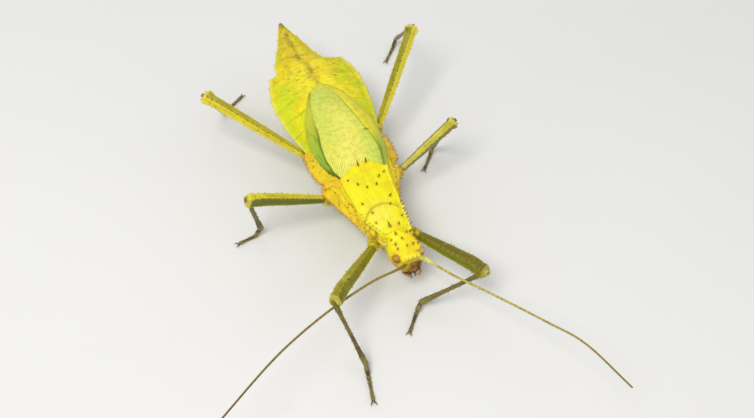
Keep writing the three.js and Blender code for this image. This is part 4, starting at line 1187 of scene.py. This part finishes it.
def compound_eye(name, side, lit_top_tint, shaded_low_tint):
    """A bead of facets, seated in the side of the head, painted lighter on its upper side as light and darker
    below as shade.
    """
    theta, phi = np.linspace(0.03, math.pi - 0.03, 72)[:, None], circle(120)
    out = np.stack(np.broadcast_arrays(side * np.cos(theta), np.sin(theta) * np.cos(phi),
                                       np.sin(theta) * np.sin(phi)), axis=-1)
    facets = 0.012 * np.cos(2 * math.pi * out[..., 1] * 15) * np.cos(2 * math.pi * out[..., 2] * 15)
    points = eye_centre(side) + out * vec(0.9, 1.02, 0.94) * (EYE_RADIUS + facets[..., None])
    shell = Shell()
    # Painted light on the upper side of the eye and painted shade on its lower side.
    shell.grid(points, coat(points, srgb(*shaded_low_tint),
                            (srgb(*lit_top_tint), ease(out[..., 2], -0.15, 0.45)),
                            (HEAD.under_eye, 0.8 * ease(out[..., 2], -0.35, -0.8))))
    shell.build(f"{name}_eye_bead", eye_material, "eye", [f"eye_{name}"])


# ------------------------ mouthparts

MOUTH = tones(lip=(158, 112, 56), lip_shade=(92, 58, 26), jaw=(104, 66, 28), jaw_ring=(40, 24, 12),
              outer=(172, 128, 74), outer_ring=(84, 54, 26), inner=(150, 108, 62), inner_ring=(80, 52, 26),
              lobe=(118, 78, 36), palp_tip=(226, 212, 176))
# Routes beside the middle of the face: how far out, behind the face's front, and high.
JAW_ROUTE = [(2.6, 1.5, 7.8), (2.2, 0.9, 7.9), (1.2, 0.2, 8.3), (0.3, -0.3, 8.5)]
OUTER_PALP_ROUTE = [(3.4, 1.8, 7.7), (3.35, 0.5, 8.5), (3.0, -1.2, 9.5), (2.2, -2.0, 9.5), (1.5, -2.2, 8.6)]
INNER_PALP_ROUTE = [(1.4, 1.7, 7.3), (1.2, 0.4, 7.2), (0.9, -0.8, 7.4), (0.7, -1.5, 7.1)]


def add_lobe(shell, centre, axes, size, tint, seed):
    """A rounded lump. axes holds its three directions and size its three half-lengths."""
    theta, phi = np.linspace(0.02, math.pi - 0.02, 18)[:, None], circle(28)
    ball = np.stack(np.broadcast_arrays(np.cos(theta), np.sin(theta) * np.sin(phi),
                                        np.sin(theta) * np.cos(phi)), axis=-1)
    points = centre + (ball * size) @ np.array(axes)
    points = points + unit(points - centre) * (0.05 * fractal(points, 0.9, seed))[..., None]
    shell.grid(points, coat(points, tint, (BROWN, 0.25 * blotch(points, 0.8, seed + 3, 0.1, 0.4))))


def jointed_limb(shell, path, radii, joints, tint, ring_tint, hint, seed, sides=20):
    """A tube along a path, nipped in at each joint (0 to 1 along it) with a darker ring there."""
    _, right, up = sweep(path, hint)
    u = np.linspace(0, 1, len(path))
    nip = np.clip(ridges(u, *[(joint, 0.012 + 0.25 / len(path), 1) for joint in joints]), 0, 1)
    radius = np.interp(u, np.linspace(0, 1, len(radii)), radii) * (1 - 0.28 * nip)
    radius = (radius * np.sqrt(np.clip(1 - ramp(u, 0.965, 1.0) ** 2 * 0.9, 0.1, 1)))[:, None]
    points = tube_points(path, right, up, radius, radius, circle(sides))
    shell.grid(points, coat(points, tint, (ring_tint, nip[:, None] * 0.8),
                            (ring_tint, 0.35 * blotch(points, 0.8, seed, 0.0, 0.4))))


def lip():
    """The notched plate over the jaws: one sheet bent back on itself."""
    u, v = np.broadcast_arrays(np.linspace(-1, 1, 61)[None], np.linspace(0, 1, 26)[:, None])
    drop = 11.4 - v * (1.95 - 0.5 * bump(u, 0, 0.16) * v - 0.45 * np.abs(u) ** 3)
    front = np.stack([middle_x(HEAD_FRONT) + 1.8 * (1 - 0.2 * v ** 3) * u,
                      HEAD_FRONT - 0.75 - 0.35 * (1 - u ** 2) * v + 0.3 * v ** 3, drop], axis=-1)
    points = np.concatenate([front, front[:, ::-1] + vec(0, 0.55, 0)], axis=1)
    shell = Shell()
    shell.grid(points, coat(points, MOUTH.lip, (MOUTH.lip_shade, blotch(points, 1.0, 101, -0.1, 0.3))))
    shell.build("labrum_plate", mouth_material, "mouth", ["labrum"])


def jaw_and_palps(name, side):
    """One side's jaw, and its two palps with a pale lobe on each tip."""
    front = vec(middle_x(HEAD_FRONT), HEAD_FRONT, 0)
    level = np.eye(3)
    jaw_path, outer, inner = (spline([front + vec(side * 0.88 * out, back, z) for out, back, z in route], 36)
                              for route in (JAW_ROUTE, OUTER_PALP_ROUTE, INNER_PALP_ROUTE))
    jaw, palps = Shell(), Shell()
    jointed_limb(jaw, jaw_path, [0.7, 0.85, 0.75, 0.35], [], MOUTH.jaw, MOUTH.jaw_ring, (0, 1, 0.2), 103)
    jointed_limb(palps, outer, [0.4, 0.46, 0.44, 0.42, 0.38], [0.2, 0.45, 0.72], MOUTH.outer,
                 MOUTH.outer_ring, (0, 0, 1), 105)
    add_lobe(palps, outer[-1], level, (0.4, 0.4, 0.44), MOUTH.palp_tip, 107)
    jointed_limb(palps, inner, [0.36, 0.4, 0.34, 0.3], [0.35, 0.68], MOUTH.inner,
                 MOUTH.inner_ring, (0, 0, 1), 108)
    add_lobe(palps, inner[-1], level, (0.3, 0.3, 0.34), MOUTH.palp_tip, 109)
    add_lobe(palps, front + vec(side * 1.2, 1.6, 7.1), level, (1.1, 1.5, 0.8), MOUTH.lobe, 111)
    jaw.build(f"{name}_jaw", mouth_material, "mouth", [f"mandible_{name}"])
    palps.build(f"{name}_palps", mouth_material, "mouth", [f"maxillary_palp_{name}"])


# ------------------------ antennae

# Points along the middle of each feeler, from its socket on.
ANTENNA_ROUTES = {
    "left": [(6.1, -42.3, 13.5), (7.9, -45.9, 14.4), (12.8, -55.7, 15.5), (20.9, -69.4, 17.5),
             (31, -86.7, 19.5), (37.6, -98.9, 20.5), (42.2, -118, 21)],
    "right": [(-0.3, -42.7, 12.5), (-3.9, -44.4, 14), (-15.1, -46.8, 15.5), (-31.5, -53, 18),
              (-47.4, -60.8, 20.5), (-60.2, -68.7, 22.5), (-81, -83.4, 25)],
}
# Where the first two joints end, as shares of a feeler's length, and the length of all the others.
SCAPE_END = 0.036
PEDICEL_END = 0.052
FEELER_JOINT = 1.75
# The colours of each feeler at its root, its middle and its tip.
FEELER = {"left": tones(root=(232, 232, 140), middle=(196, 188, 96), tip=(150, 118, 50)),
          "right": tones(root=(140, 116, 40), middle=(150, 132, 56), tip=(120, 94, 40))}
BRISTLE = tones(foot=(120, 96, 50), tip=(70, 50, 24))


def antenna(name, root_radius):
    """A feeler: two stout joints and a thread of many short ones, each a little wider at its end."""
    path = spline(ANTENNA_ROUTES[name], 900)
    _, right, up = sweep(path, (0, 0, 1))
    u = np.linspace(0, 1, len(path))[:, None]
    length = float(np.sum(np.linalg.norm(np.diff(path, axis=0), axis=1)))
    joint = (u - PEDICEL_END) * length / FEELER_JOINT
    swell = np.where(u > PEDICEL_END, (joint - np.floor(joint)) ** 2, 0)
    nips = [(SCAPE_END, 0.005, 0.45), (PEDICEL_END, 0.003, 0.25), (0.006, 0.004, 0.3)]
    radius = lerp(root_radius, lerp(0.44, 0.3, u), ease(u, 0.042, 0.064))
    radius = radius * (1 + 0.16 * swell * ease(u, 1.0, 0.4)) * (1 - 0.85 * ramp(u, 0.997, 1) ** 2)
    for centre, width, depth in nips:
        radius = radius * (1 - depth * bump(u, centre, width))
    points = tube_points(path, right, up, radius, radius, circle(18))
    tint = FEELER[name]
    shell = Shell()
    shell.grid(points, coat(points, tint.root,
                            (tint.middle, ease(u, 0.03, 0.12)),
                            (tint.tip, ease(u, 0.3, 1.0)),
                            (BROWN, 0.5 * bump(swell, 1.0, 0.22) * (u > PEDICEL_END)),
                            (BROWN, 0.3 * blotch(points, 1.6, 121, 0.1, 0.4))))
    add_bristles(shell, points, 12, 0.25, 131)
    shell.build(f"{name}_feeler", feeler_material, "feeler",
                [f"antenna_{name}_{part}" for part in ("base", "inner", "outer")])


def add_bristles(shell, points, every, length, seed):
    """Short stiff hairs on a tube, leaning towards its end."""
    rng = np.random.default_rng(seed)
    rows = np.arange(every, len(points) - 2, every)
    roots = points[rows, rng.integers(0, points.shape[1], len(rows))]
    centres = points[rows].mean(axis=1)
    forward = unit(points[rows + 1].mean(axis=1) - centres)
    add_thorns(shell, roots, unit(roots - centres) + 0.8 * forward, length, 0.05, BRISTLE.foot,
               BRISTLE.tip, 0.0)


# ------------------------ legs

ANKLE_Z = 2.7
TOE_Z = 0.8
SOLE_Z = 0.62
# Half-width and half-depth of each pair's thighs and shins.
THIGH_SIZE = {"front": (1.7, 2.5), "mid": (1.85, 3.1), "hind": (2.15, 2.7)}
SHIN_SIZE = {"front": (1.0, 1.3), "mid": (1.1, 1.4), "hind": (1.05, 1.35)}
# Each leg's joints; the colours of its thigh's main face and of the face beside it, which hold painted light
# and shade as well as the thigh's own colours; how far the main face is turned, in degrees; and on which side
# of the main face the other one lies.
LEGS = {
    "front_left": dict(hip=(4.5, -26, 12.2), thigh=(9, -33.4, 14.6), knee=(23, -60, 18.4),
                       ankle=(0.5, -53.6), toe=(-6.8, -62), main=(118, 110, 16), other=(130, 134, 14),
                       twist=54, beside=1),
    "front_right": dict(hip=(-5.2, -25.5, 12.2), thigh=(-8.2, -32.6, 14.8), knee=(-31, -52.6, 21.5),
                        ankle=(-26.2, -69.2), toe=(-28.9, -81.4), main=(158, 150, 22), other=(146, 140, 14),
                        twist=-26, beside=-1),
    "mid_left": dict(hip=(10.5, -4, 13.6), thigh=(15.6, -2.3, 15), knee=(40.6, 2.8, 27.8),
                     ankle=(38.2, 14.6), toe=(30.8, 6.4), main=(206, 196, 50), other=(146, 134, 22),
                     twist=0, beside=1),
    "mid_right": dict(hip=(-11, -4, 13.6), thigh=(-16.4, -4.8, 15), knee=(-45, -3.8, 26.8),
                      ankle=(-41, 0.7), toe=(-50.6, -1), main=(214, 202, 36), other=(112, 120, 14),
                      twist=0, beside=-1),
    "hind_left": dict(hip=(11.5, 13, 13.4), thigh=(16.6, 22, 15.6), knee=(47.3, 56.4, 32.8),
                      ankle=(53.2, 86.4), toe=(43.6, 75.4), main=(238, 222, 50), other=(176, 170, 30),
                      twist=26, beside=-1),
    "hind_right": dict(hip=(-11, 12, 13.4), thigh=(-15.2, 18.6, 15.2), knee=(-45.2, 51, 30.8),
                       ankle=(-36.5, 70.5), toe=(-25.4, 78.4), main=(230, 214, 48), other=(204, 188, 36),
                       twist=-26, beside=1),
}
# How many rings a mesh has, and how many points each ring has.
HIP_MESH = (60, 64)
THIGH_MESH = (190, 90)
SHIN_MESH = (120, 50)
# Spacing and usual size of the thorns on a thigh's five crests, from the crest beside the main face
# on, and the rings of the mesh between which thorns stand.
THIGH_THORNS = [(2.8, 0.85), (3.4, 0.62), (4.2, 0.5), (3.4, 0.62), (3.0, 0.7)]
THIGH_THORN_RINGS = (7.56, 170.1)
SHIN_THORN_RINGS = (10, 110)
SHIN_THORN_GAP = 3.6
TOOTH_PITCH = 1.15
DASH_PITCH = 2.3
# Where each of a foot's five parts starts, and where the last one ends, as shares of its length.
FOOT_JOINTS = [0.0, 0.3, 0.44, 0.56, 0.67, 1.0]
# A claw's route from its root: ahead, out to the side and up.
CLAW_ROUTE = [(0, 0, 0), (0.75, 0.42, 0.12), (1.3, 0.62, -0.16), (1.45, 0.66, -0.5)]
THIGH = tones(light=(250, 240, 70), crest=(246, 234, 90), line=(88, 78, 12), ring=(150, 120, 50),
              thorn_tip=(84, 56, 14), knee_thorn=(246, 236, 150))
HIP = tones(base=(214, 196, 36), end=(224, 210, 66), patch=(140, 134, 40), groove=(128, 104, 30),
            thorn_foot=(240, 228, 130), thorn_tip=(140, 96, 36))
SHIN = tones(base=(118, 104, 34), dark=(78, 66, 22), crest=(142, 128, 54), end=(156, 146, 84),
             green=(104, 106, 30), thorn_foot=(168, 154, 84), thorn_tip=(66, 46, 18), spur=(180, 160, 100))
FOOT = tones(base=(128, 116, 60), dark=(78, 64, 34), pad=(186, 170, 116), joint=(58, 46, 24),
             hair_foot=(120, 96, 50), hair_tip=(60, 44, 22), lobe=(196, 180, 130),
             claw=(84, 56, 24), claw_tip=(30, 18, 8))


def crest_of(angle):
    """1 on the five lengthwise crests of a limb and 0 in the hollows between them."""
    return 1 - np.abs(np.cos(2.5 * angle))


def crested_limb(start, end, size, hint, mesh, relief, roughness):
    """A straight limb between two joints. relief gives its thickness from the place along it and
    the angle round it, and roughness is the height, size and seed of its lumps."""
    along = unit(end - start)
    right, up = side_axes(along, hint)
    rings, sides = mesh
    share = np.linspace(0, 1, rings)[:, None]
    t, angle = np.broadcast_arrays(share, circle(sides, -math.pi))
    wide, deep = size
    thick = relief(t, angle)
    points = tube_points(lerp(start, end, share), right[None], up[None], wide * thick, deep * thick, angle)
    height, *lumps = roughness
    points = raised(points, height * fractal(points, *lumps))
    return SimpleNamespace(points=points, t=t, angle=angle, along=along, right=right, up=up)


def crest_thorns(shell, rng, limb, crest, count, jitter, span, size, lean, stout, *look):
    """A row of thorns along the crest of a limb at one angle, between two of its rings."""
    sides = limb.points.shape[1]
    share = (np.arange(count) + rng.uniform(jitter, 1 - jitter, count)) / count
    ring = lerp(*span, share).astype(int)
    column = round((crest + math.pi) / (2 * math.pi) * sides) % sides
    away = limb.right * math.sin(crest) + limb.up * math.cos(crest)
    lengths = rng.uniform(*size, count)
    add_thorns(shell, limb.points[ring, column], away + lean * limb.along, lengths, stout * lengths + 0.08,
               *look)


def coxa(name, rng, hip, thigh, deep, main):
    """The hip: a stout cone with a ring, which carries the thigh."""

    def relief(t, angle):
        cone = 1 - 0.2 * t + ridges(t, (0.62, 0.14, 0.1), (0.78, 0.04, -0.16)) - 0.25 * ease(t, 0.94, 1.05)
        return cone * (0.95 + 0.06 * crest_of(angle))

    end = thigh + 0.1 * (thigh - hip)
    limb = crested_limb(hip, end, (0.98 * deep, deep), (0, 0, 1), HIP_MESH, relief, (0.16, 1.6, 151))
    points, t = limb.points, limb.t
    like_thigh = ease(t, 0.6, 0.75) * blotch(points, 2.0, 153, -0.5, 0.2)
    shell = Shell()
    shell.grid(points, coat(points, HIP.base,
                            (ORANGE, 0.5 * blotch(points, 2.4, 152, 0.0, 0.35)),
                            # The thigh's main colour, which holds painted light and shade, spreads onto the
                            # hip.
                            (lerp(HIP.end, main, 0.6), 0.8 * like_thigh),
                            (HIP.patch, 0.6 * blotch(points, 1.5, 154, 0.05, 0.3)),
                            (HIP.groove, 0.6 * bump(t, 0.78, 0.03))))
    rows, columns = rng.integers(18, 54, 30), rng.integers(0, 64, 30)
    roots = points[rows, columns]
    add_thorns(shell, roots, roots - points[rows].mean(axis=1), rng.uniform(0.35, 0.8, 30), 0.24,
               HIP.thorn_foot, HIP.thorn_tip)
    shell.build(f"{name}_coxa_skin", skin_material, "body", [f"{name}_coxa"])


def femur_tint(limb, length, main, other, twist, beside):
    """Five faces between crests: the bright main one, the one beside it, and olive ones painted darker as
    shade where they turn away; their colours hold painted light and shade over the thigh's own colours. Dark
    furrows run between them, and a dotted line between the two bright ones."""
    points, t, turned = limb.points, limb.t, limb.angle - twist
    crest = crest_of(turned)
    main_face, other_face = (ease(np.cos(turned - math.radians(72 * number)), 0.76, 0.86)
                             for number in (0, beside))
    furrow = ease(crest, 0.24, 0.06) * blotch(points, 5, 149, -0.6, 0.1)
    line = ease(np.cos(turned - math.radians(36 * beside)), 0.985, 0.997)
    dash = ease(np.cos(2 * math.pi * t * length / DASH_PITCH + 2 * beside), -0.4, 0.5)
    dash = dash * blotch(points, 2, 148, -0.6, 0.1)
    # The faces that turn away are painted darker olive, as shade.
    faces = coat(points, lerp(other, OLIVE, 0.6) * 0.7,
                 (OLIVE, 0.6 * blotch(points, 3, 142, -0.1, 0.3)),
                 (main, main_face),
                 (other, other_face),
                 (lerp(main, THIGH.light, 0.5), 0.5 * blotch(points, 4.5, 143, 0.0, 0.35) * main_face),
                 (other * 0.6, 0.45 * other_face * blotch(points, 3, 144, -0.3, 0.3) * ease(t, 0.0, 0.4)),
                 # Painted highlight along the crests.
                 (lerp(main, THIGH.crest, 0.45), 0.75 * ease(crest, 0.72, 0.97)))
    return coat(points, faces,
                (0.66 * faces, 0.55 * furrow),
                (THIGH.line, 0.75 * line * lerp(0.45, 1, dash)),
                (BROWN, 0.4 * blotch(points, 1.1, 145, 0.3, 0.5)),
                (lerp(main, CREAM, 0.5), 0.7 * ease(t, 0.955, 0.985)),
                (THIGH.ring, 0.3 * bump(t, 0.92, 0.008) + 0.5 * bump(t, 0.02, 0.02)))


def femur(name, rng, thigh, knee, ankle, size, main, other, twist, beside):
    """The thigh: five toothed crests, which widen at the knee into a lobe on each side."""
    length = away_from(knee, thigh)
    twist = math.radians(twist)
    wide, deep = size

    def relief(t, angle):
        swell = 0.72 + 0.28 * ease(t, 0, 0.55) + 0.12 * ease(t, 0.5, 0.92) - 0.3 * ease(t, 0.98, 1)
        crest = crest_of(angle - twist)
        teeth = 0.5 + 0.5 * np.cos(2 * math.pi * (t * length / TOOTH_PITCH + 0.3 * np.round(angle / 1.25)))
        ribbed = 0.84 + 0.14 * crest ** 1.2 + 0.04 * ease(crest, 0.7, 0.95)
        ribbed = ribbed + 0.05 * teeth * ease(crest, 0.66, 0.95)
        return swell * ribbed * (1 - 0.06 * bump(t, 0.92, 0.012)) * (1 - 0.12 * bump(t, 0.03, 0.02))

    limb = crested_limb(thigh, knee, size, knee - ankle, THIGH_MESH, relief, (0.07, 1.8, 141))
    t, along, right, up = limb.t, limb.along, limb.right, limb.up
    sideways = (limb.points - thigh) @ right
    limb.points = (limb.points + right * (0.32 * sideways * ease(t, 0.9, 0.985))[..., None]
                   - up * (0.6 * ease(t, 0.78, 0.96))[..., None])
    shell = Shell()
    shell.grid(limb.points, femur_tint(limb, length, main, other, twist, beside))
    look = (lerp(main, CREAM, 0.4), THIGH.thorn_tip, 0.1, 0.25)
    for number, (spacing, usual) in enumerate(THIGH_THORNS):
        crest = twist + math.radians(36 * beside * (1 + 2 * number))
        crest_thorns(shell, rng, limb, crest, int(length / spacing), 0.1, THIGH_THORN_RINGS,
                     (0.3 * usual, 1.25 * usual), 0.55, 0.3, *look)
    for side in (-1, 1):
        spot = knee + right * side * 0.8 * wide - along * 0.9 - up * 0.22 * deep
        add_lobe(shell, spot, (along, right, up), (1.7, 0.42, 0.36 * deep), lerp(main, CREAM, 0.6), 147)
        tips = [spot + along * 1.4 + up * 0.25 * deep, spot + along * 1.3 - up * 0.3 * deep]
        add_thorns(shell, tips, along + side * 0.5 * right, [0.75, 0.55], 0.34, lerp(main, CREAM, 0.7),
                   THIGH.knee_thorn, 0.0, 0.3)
    shell.build(f"{name}_femur_skin", leg_material, "leg", [f"{name}_femur"])


def tibia(name, rng, thigh, knee, ankle, size):
    """The shin: slender and olive, with five rows of thorns and two spurs over the foot."""
    length = away_from(ankle, knee)
    end = knee + (ankle - knee) * (length - 0.35) / length
    wide, deep = size

    def relief(t, angle):
        swell = 1 - 0.38 * ease(t, 0.03, 0.3) + 0.3 * ease(t, 0.6, 0.97) - 0.4 * ease(t, 0.985, 1)
        return swell * (0.88 + 0.12 * crest_of(angle)) * (1 - 0.12 * bump(t, 0.045, 0.02))

    limb = crested_limb(knee, end, size, knee - thigh, SHIN_MESH, relief, (0.05, 1.4, 161))
    points, t = limb.points, limb.t
    shell = Shell()
    shell.grid(points, coat(points, SHIN.base,
                            (SHIN.dark, blotch(points, 2.8, 162, -0.1, 0.3)),
                            # Painted highlight along the crests.
                            (SHIN.crest, 0.8 * ease(crest_of(limb.angle), 0.6, 0.95)),
                            (SHIN.end, 0.5 * ease(t, 0.8, 0.97) + 0.6 * ease(t, 0.08, 0.0)),
                            (SHIN.green, 0.5 * blotch(points, 3.5, 163, 0.0, 0.4)),
                            (BROWN, 0.5 * blotch(points, 0.9, 164, 0.25, 0.5))))
    for crest in np.radians([36, 108, 180, -108, -36]):
        crest_thorns(shell, rng, limb, crest, int(length / SHIN_THORN_GAP), 0.2, SHIN_THORN_RINGS,
                     (0.45, 0.85), 0.7, 0.24, SHIN.thorn_foot, SHIN.thorn_tip, 0.05, 0.3)
    for side in (-1, 1):
        spur = end + limb.right * side * 0.7 * wide - limb.up * 0.4 * deep - limb.along * 0.3
        add_thorns(shell, spur, limb.along + 0.4 * side * limb.right - 0.2 * limb.up, 0.9, 0.26, SHIN.spur,
                   SHIN.thorn_tip, 0.0, 0.35)
    shell.build(f"{name}_tibia_skin", shin_material, "shin", [f"{name}_tibia"])


def foot_tube(knee, ankle, ground, end):
    """The foot's jointed skin: its points, and how far each lies under a pad or in a joint."""
    start = ankle + 0.9 * unit(knee - ankle)
    instep = lerp(start, ground, 0.55) + vec(0, 0, 0.12)
    path = spline([start, instep, ground, lerp(ground, end, 0.5), end], 130)
    _, right, up = sweep(path, (0, 0, 1))
    u, angle = np.broadcast_arrays(np.linspace(0, 1, len(path))[:, None], circle(40, -math.pi))
    parts = [np.where((u >= first) & (u < last), np.sin(math.pi * ramp(u, first, last) ** 1.8), 0)
             for first, last in zip(FOOT_JOINTS, FOOT_JOINTS[1:])]
    pad = sum(parts)
    joint = sum(bump(u, spot, 0.014) for spot in FOOT_JOINTS[1:-1])
    radius = lerp(0.98, 0.62, ease(u, 0.0, 0.75)) + 0.1 * ease(u, 0.8, 0.97)
    radius = radius * (0.86 + 0.2 * pad) * (1 - 0.2 * joint) * (1 - 0.75 * ramp(u, 0.97, 1) ** 2)
    under = pad * (0.5 - 0.5 * np.cos(angle))
    points = tube_points(path, right, up, 0.96 * radius, radius * (0.92 + 0.35 * under), angle)
    points = raised(points, 0.05 * fractal(points, 0.9, 171))
    points[..., 2] = np.maximum(points[..., 2], 0.0)
    return points, under, joint


def tarsus(name, knee, ankle, toe):
    """The foot: five parts on pale pads, with bristles, a lobe at its end and two claws."""
    heel = lerp(ankle, toe, 0.06)
    direction = unit((toe - heel) * vec(1, 1, 0))
    across = np.cross(direction, vec(0, 0, 1))
    ground, end = heel + direction * 2.2, toe.copy()
    ground[2], end[2] = SOLE_Z + 0.12, SOLE_Z + 0.1
    points, under, joint = foot_tube(knee, ankle, ground, end)
    foot, claws = Shell(), Shell()
    foot.grid(points, coat(points, FOOT.base,
                           (FOOT.dark, blotch(points, 1.8, 172, -0.1, 0.3)),
                           (FOOT.pad, 0.75 * under),
                           (FOOT.joint, 0.7 * joint)))
    for side in (-1, 1):
        roots = points[np.arange(8, 122, 6), (20 + side * 9) % 40]
        add_thorns(foot, roots, side * across + 0.5 * direction + vec(0, 0, 0.2), 0.3, 0.06,
                   FOOT.hair_foot, FOOT.hair_tip, 0.0)
    add_lobe(foot, end + direction * 0.35 - vec(0, 0, 0.22), (direction, across, vec(0, 0, 1)),
             (0.62, 0.55, 0.36), FOOT.lobe, 175)
    for side in (-1, 1):
        root = end + across * 0.3 * side + direction * 0.1 + vec(0, 0, 0.05)
        hook = spline([root + direction * ahead + across * out * side + vec(0, 0, up)
                       for ahead, out, up in CLAW_ROUTE], 26)
        jointed_limb(claws, hook, [0.26, 0.2, 0.13, 0.05], [], FOOT.claw, FOOT.claw_tip,
                     np.cross(direction, across), 177, 14)
    foot.build(f"{name}_foot", shin_material, "foot", [f"{name}_tarsus"])
    claws.build(f"{name}_claws", claw_material, "foot")


def leg(name, hip, thigh, knee, ankle, toe, main, other, twist, beside):
    rng = np.random.default_rng(31)
    pair = name.split("_")[0]
    joints = (hip, thigh, knee, (*ankle, ANKLE_Z), (*toe, TOE_Z))
    hip, thigh, knee, ankle, toe = (vec(*joint) for joint in joints)
    # main and other are each thigh's own colours with painted light and shade in them; the hip, the thorns
    # and the knee lobes take them up too.
    main, other = srgb(*main), srgb(*other)
    coxa(name, rng, hip, thigh, THIGH_SIZE[pair][1], main)
    femur(name, rng, thigh, knee, ankle, THIGH_SIZE[pair], main, other, twist, beside)
    tibia(name, rng, thigh, knee, ankle, SHIN_SIZE[pair])
    tarsus(name, knee, ankle, toe)


# ------------------------ the insect

trunk()
beak()
left_case()
right_case()
head()
# Each eye is painted in light above and in shade below; the left eye's paler upper colour is a painted
# reflection.
compound_eye("left", 1, (226, 184, 110), (128, 92, 44))
compound_eye("right", -1, (222, 164, 34), (124, 80, 18))
lip()
jaw_and_palps("left", 1)
jaw_and_palps("right", -1)
antenna("left", 1.0)
antenna("right", 0.6)
for name, joints_and_looks in LEGS.items():
    leg(name, **joints_and_looks)

# ------------------------ stage, light and camera

FLOOR_HALF = 8
FLOOR_PAINT = tones(light=(238, 237, 234), shade=(232, 231, 228))
TARGET = vec(-1.5, -20, 19.3)
CAMERA_AZIMUTH = math.radians(-23)
CAMERA_HEIGHT = math.radians(50)
CAMERA_DISTANCE = 300
FOCAL_PIXELS = 820
IMAGE_WIDTH = 754
SENSOR = 36


def floor():
    mesh = bpy.data.meshes.new("floor")
    corners = [(-FLOOR_HALF, -FLOOR_HALF, 0), (FLOOR_HALF, -FLOOR_HALF, 0),
               (FLOOR_HALF, FLOOR_HALF, 0), (-FLOOR_HALF, FLOOR_HALF, 0)]
    mesh.from_pydata(corners, [], [(0, 1, 2, 3)])
    n = Nodes("floor_paint")
    cloud = n.mix(n.noise(6, 2, 0.5), (*FLOOR_PAINT.shade, 1), FLOOR_PAINT.light)
    mesh.materials.append(n.surface(cloud, 0.85))
    piece = bpy.data.objects.new("floor", mesh)
    bpy.context.collection.objects.link(piece)


def area_light(name, spot, size, watts, colour=(1, 1, 1)):
    lamp = bpy.data.lights.new(name, "AREA")
    lamp.size = size
    lamp.energy = watts
    lamp.color = colour
    light = bpy.data.objects.new(name, lamp)
    light.location = spot
    aim = Vector((0, 0, 0.02)) - Vector(spot)
    light.rotation_euler = aim.to_track_quat("-Z", "Y").to_euler()
    bpy.context.collection.objects.link(light)


def studio():
    area_light("key", (-0.35, -0.25, 0.75), 0.4, 4.3, (1, 0.98, 0.93))
    area_light("fill", (0.7, -0.4, 0.45), 0.7, 0.9)
    area_light("back", (0.1, 0.8, 0.5), 0.6, 1.2, (0.95, 0.97, 1))
    world = bpy.data.worlds.new("studio")
    world.use_nodes = True
    background = world.node_tree.nodes["Background"].inputs
    background["Color"].default_value = (0.93, 0.95, 1, 1)
    background["Strength"].default_value = 0.5
    bpy.context.scene.world = world
    bpy.context.scene.view_settings.view_transform = "Standard"


def camera():
    level = math.cos(CAMERA_HEIGHT)
    back = vec(math.sin(CAMERA_AZIMUTH) * level, -math.cos(CAMERA_AZIMUTH) * level, math.sin(CAMERA_HEIGHT))
    lens = bpy.data.cameras.new("camera")
    lens.sensor_width = SENSOR
    lens.lens = SENSOR * FOCAL_PIXELS / IMAGE_WIDTH
    lens.clip_start = 0.01
    eye = bpy.data.objects.new("camera", lens)
    eye.location = place(TARGET + back * CAMERA_DISTANCE)
    eye.rotation_euler = Vector(-back).to_track_quat("-Z", "Y").to_euler()
    bpy.context.collection.objects.link(eye)
    bpy.context.scene.camera = eye


floor()
studio()
camera()
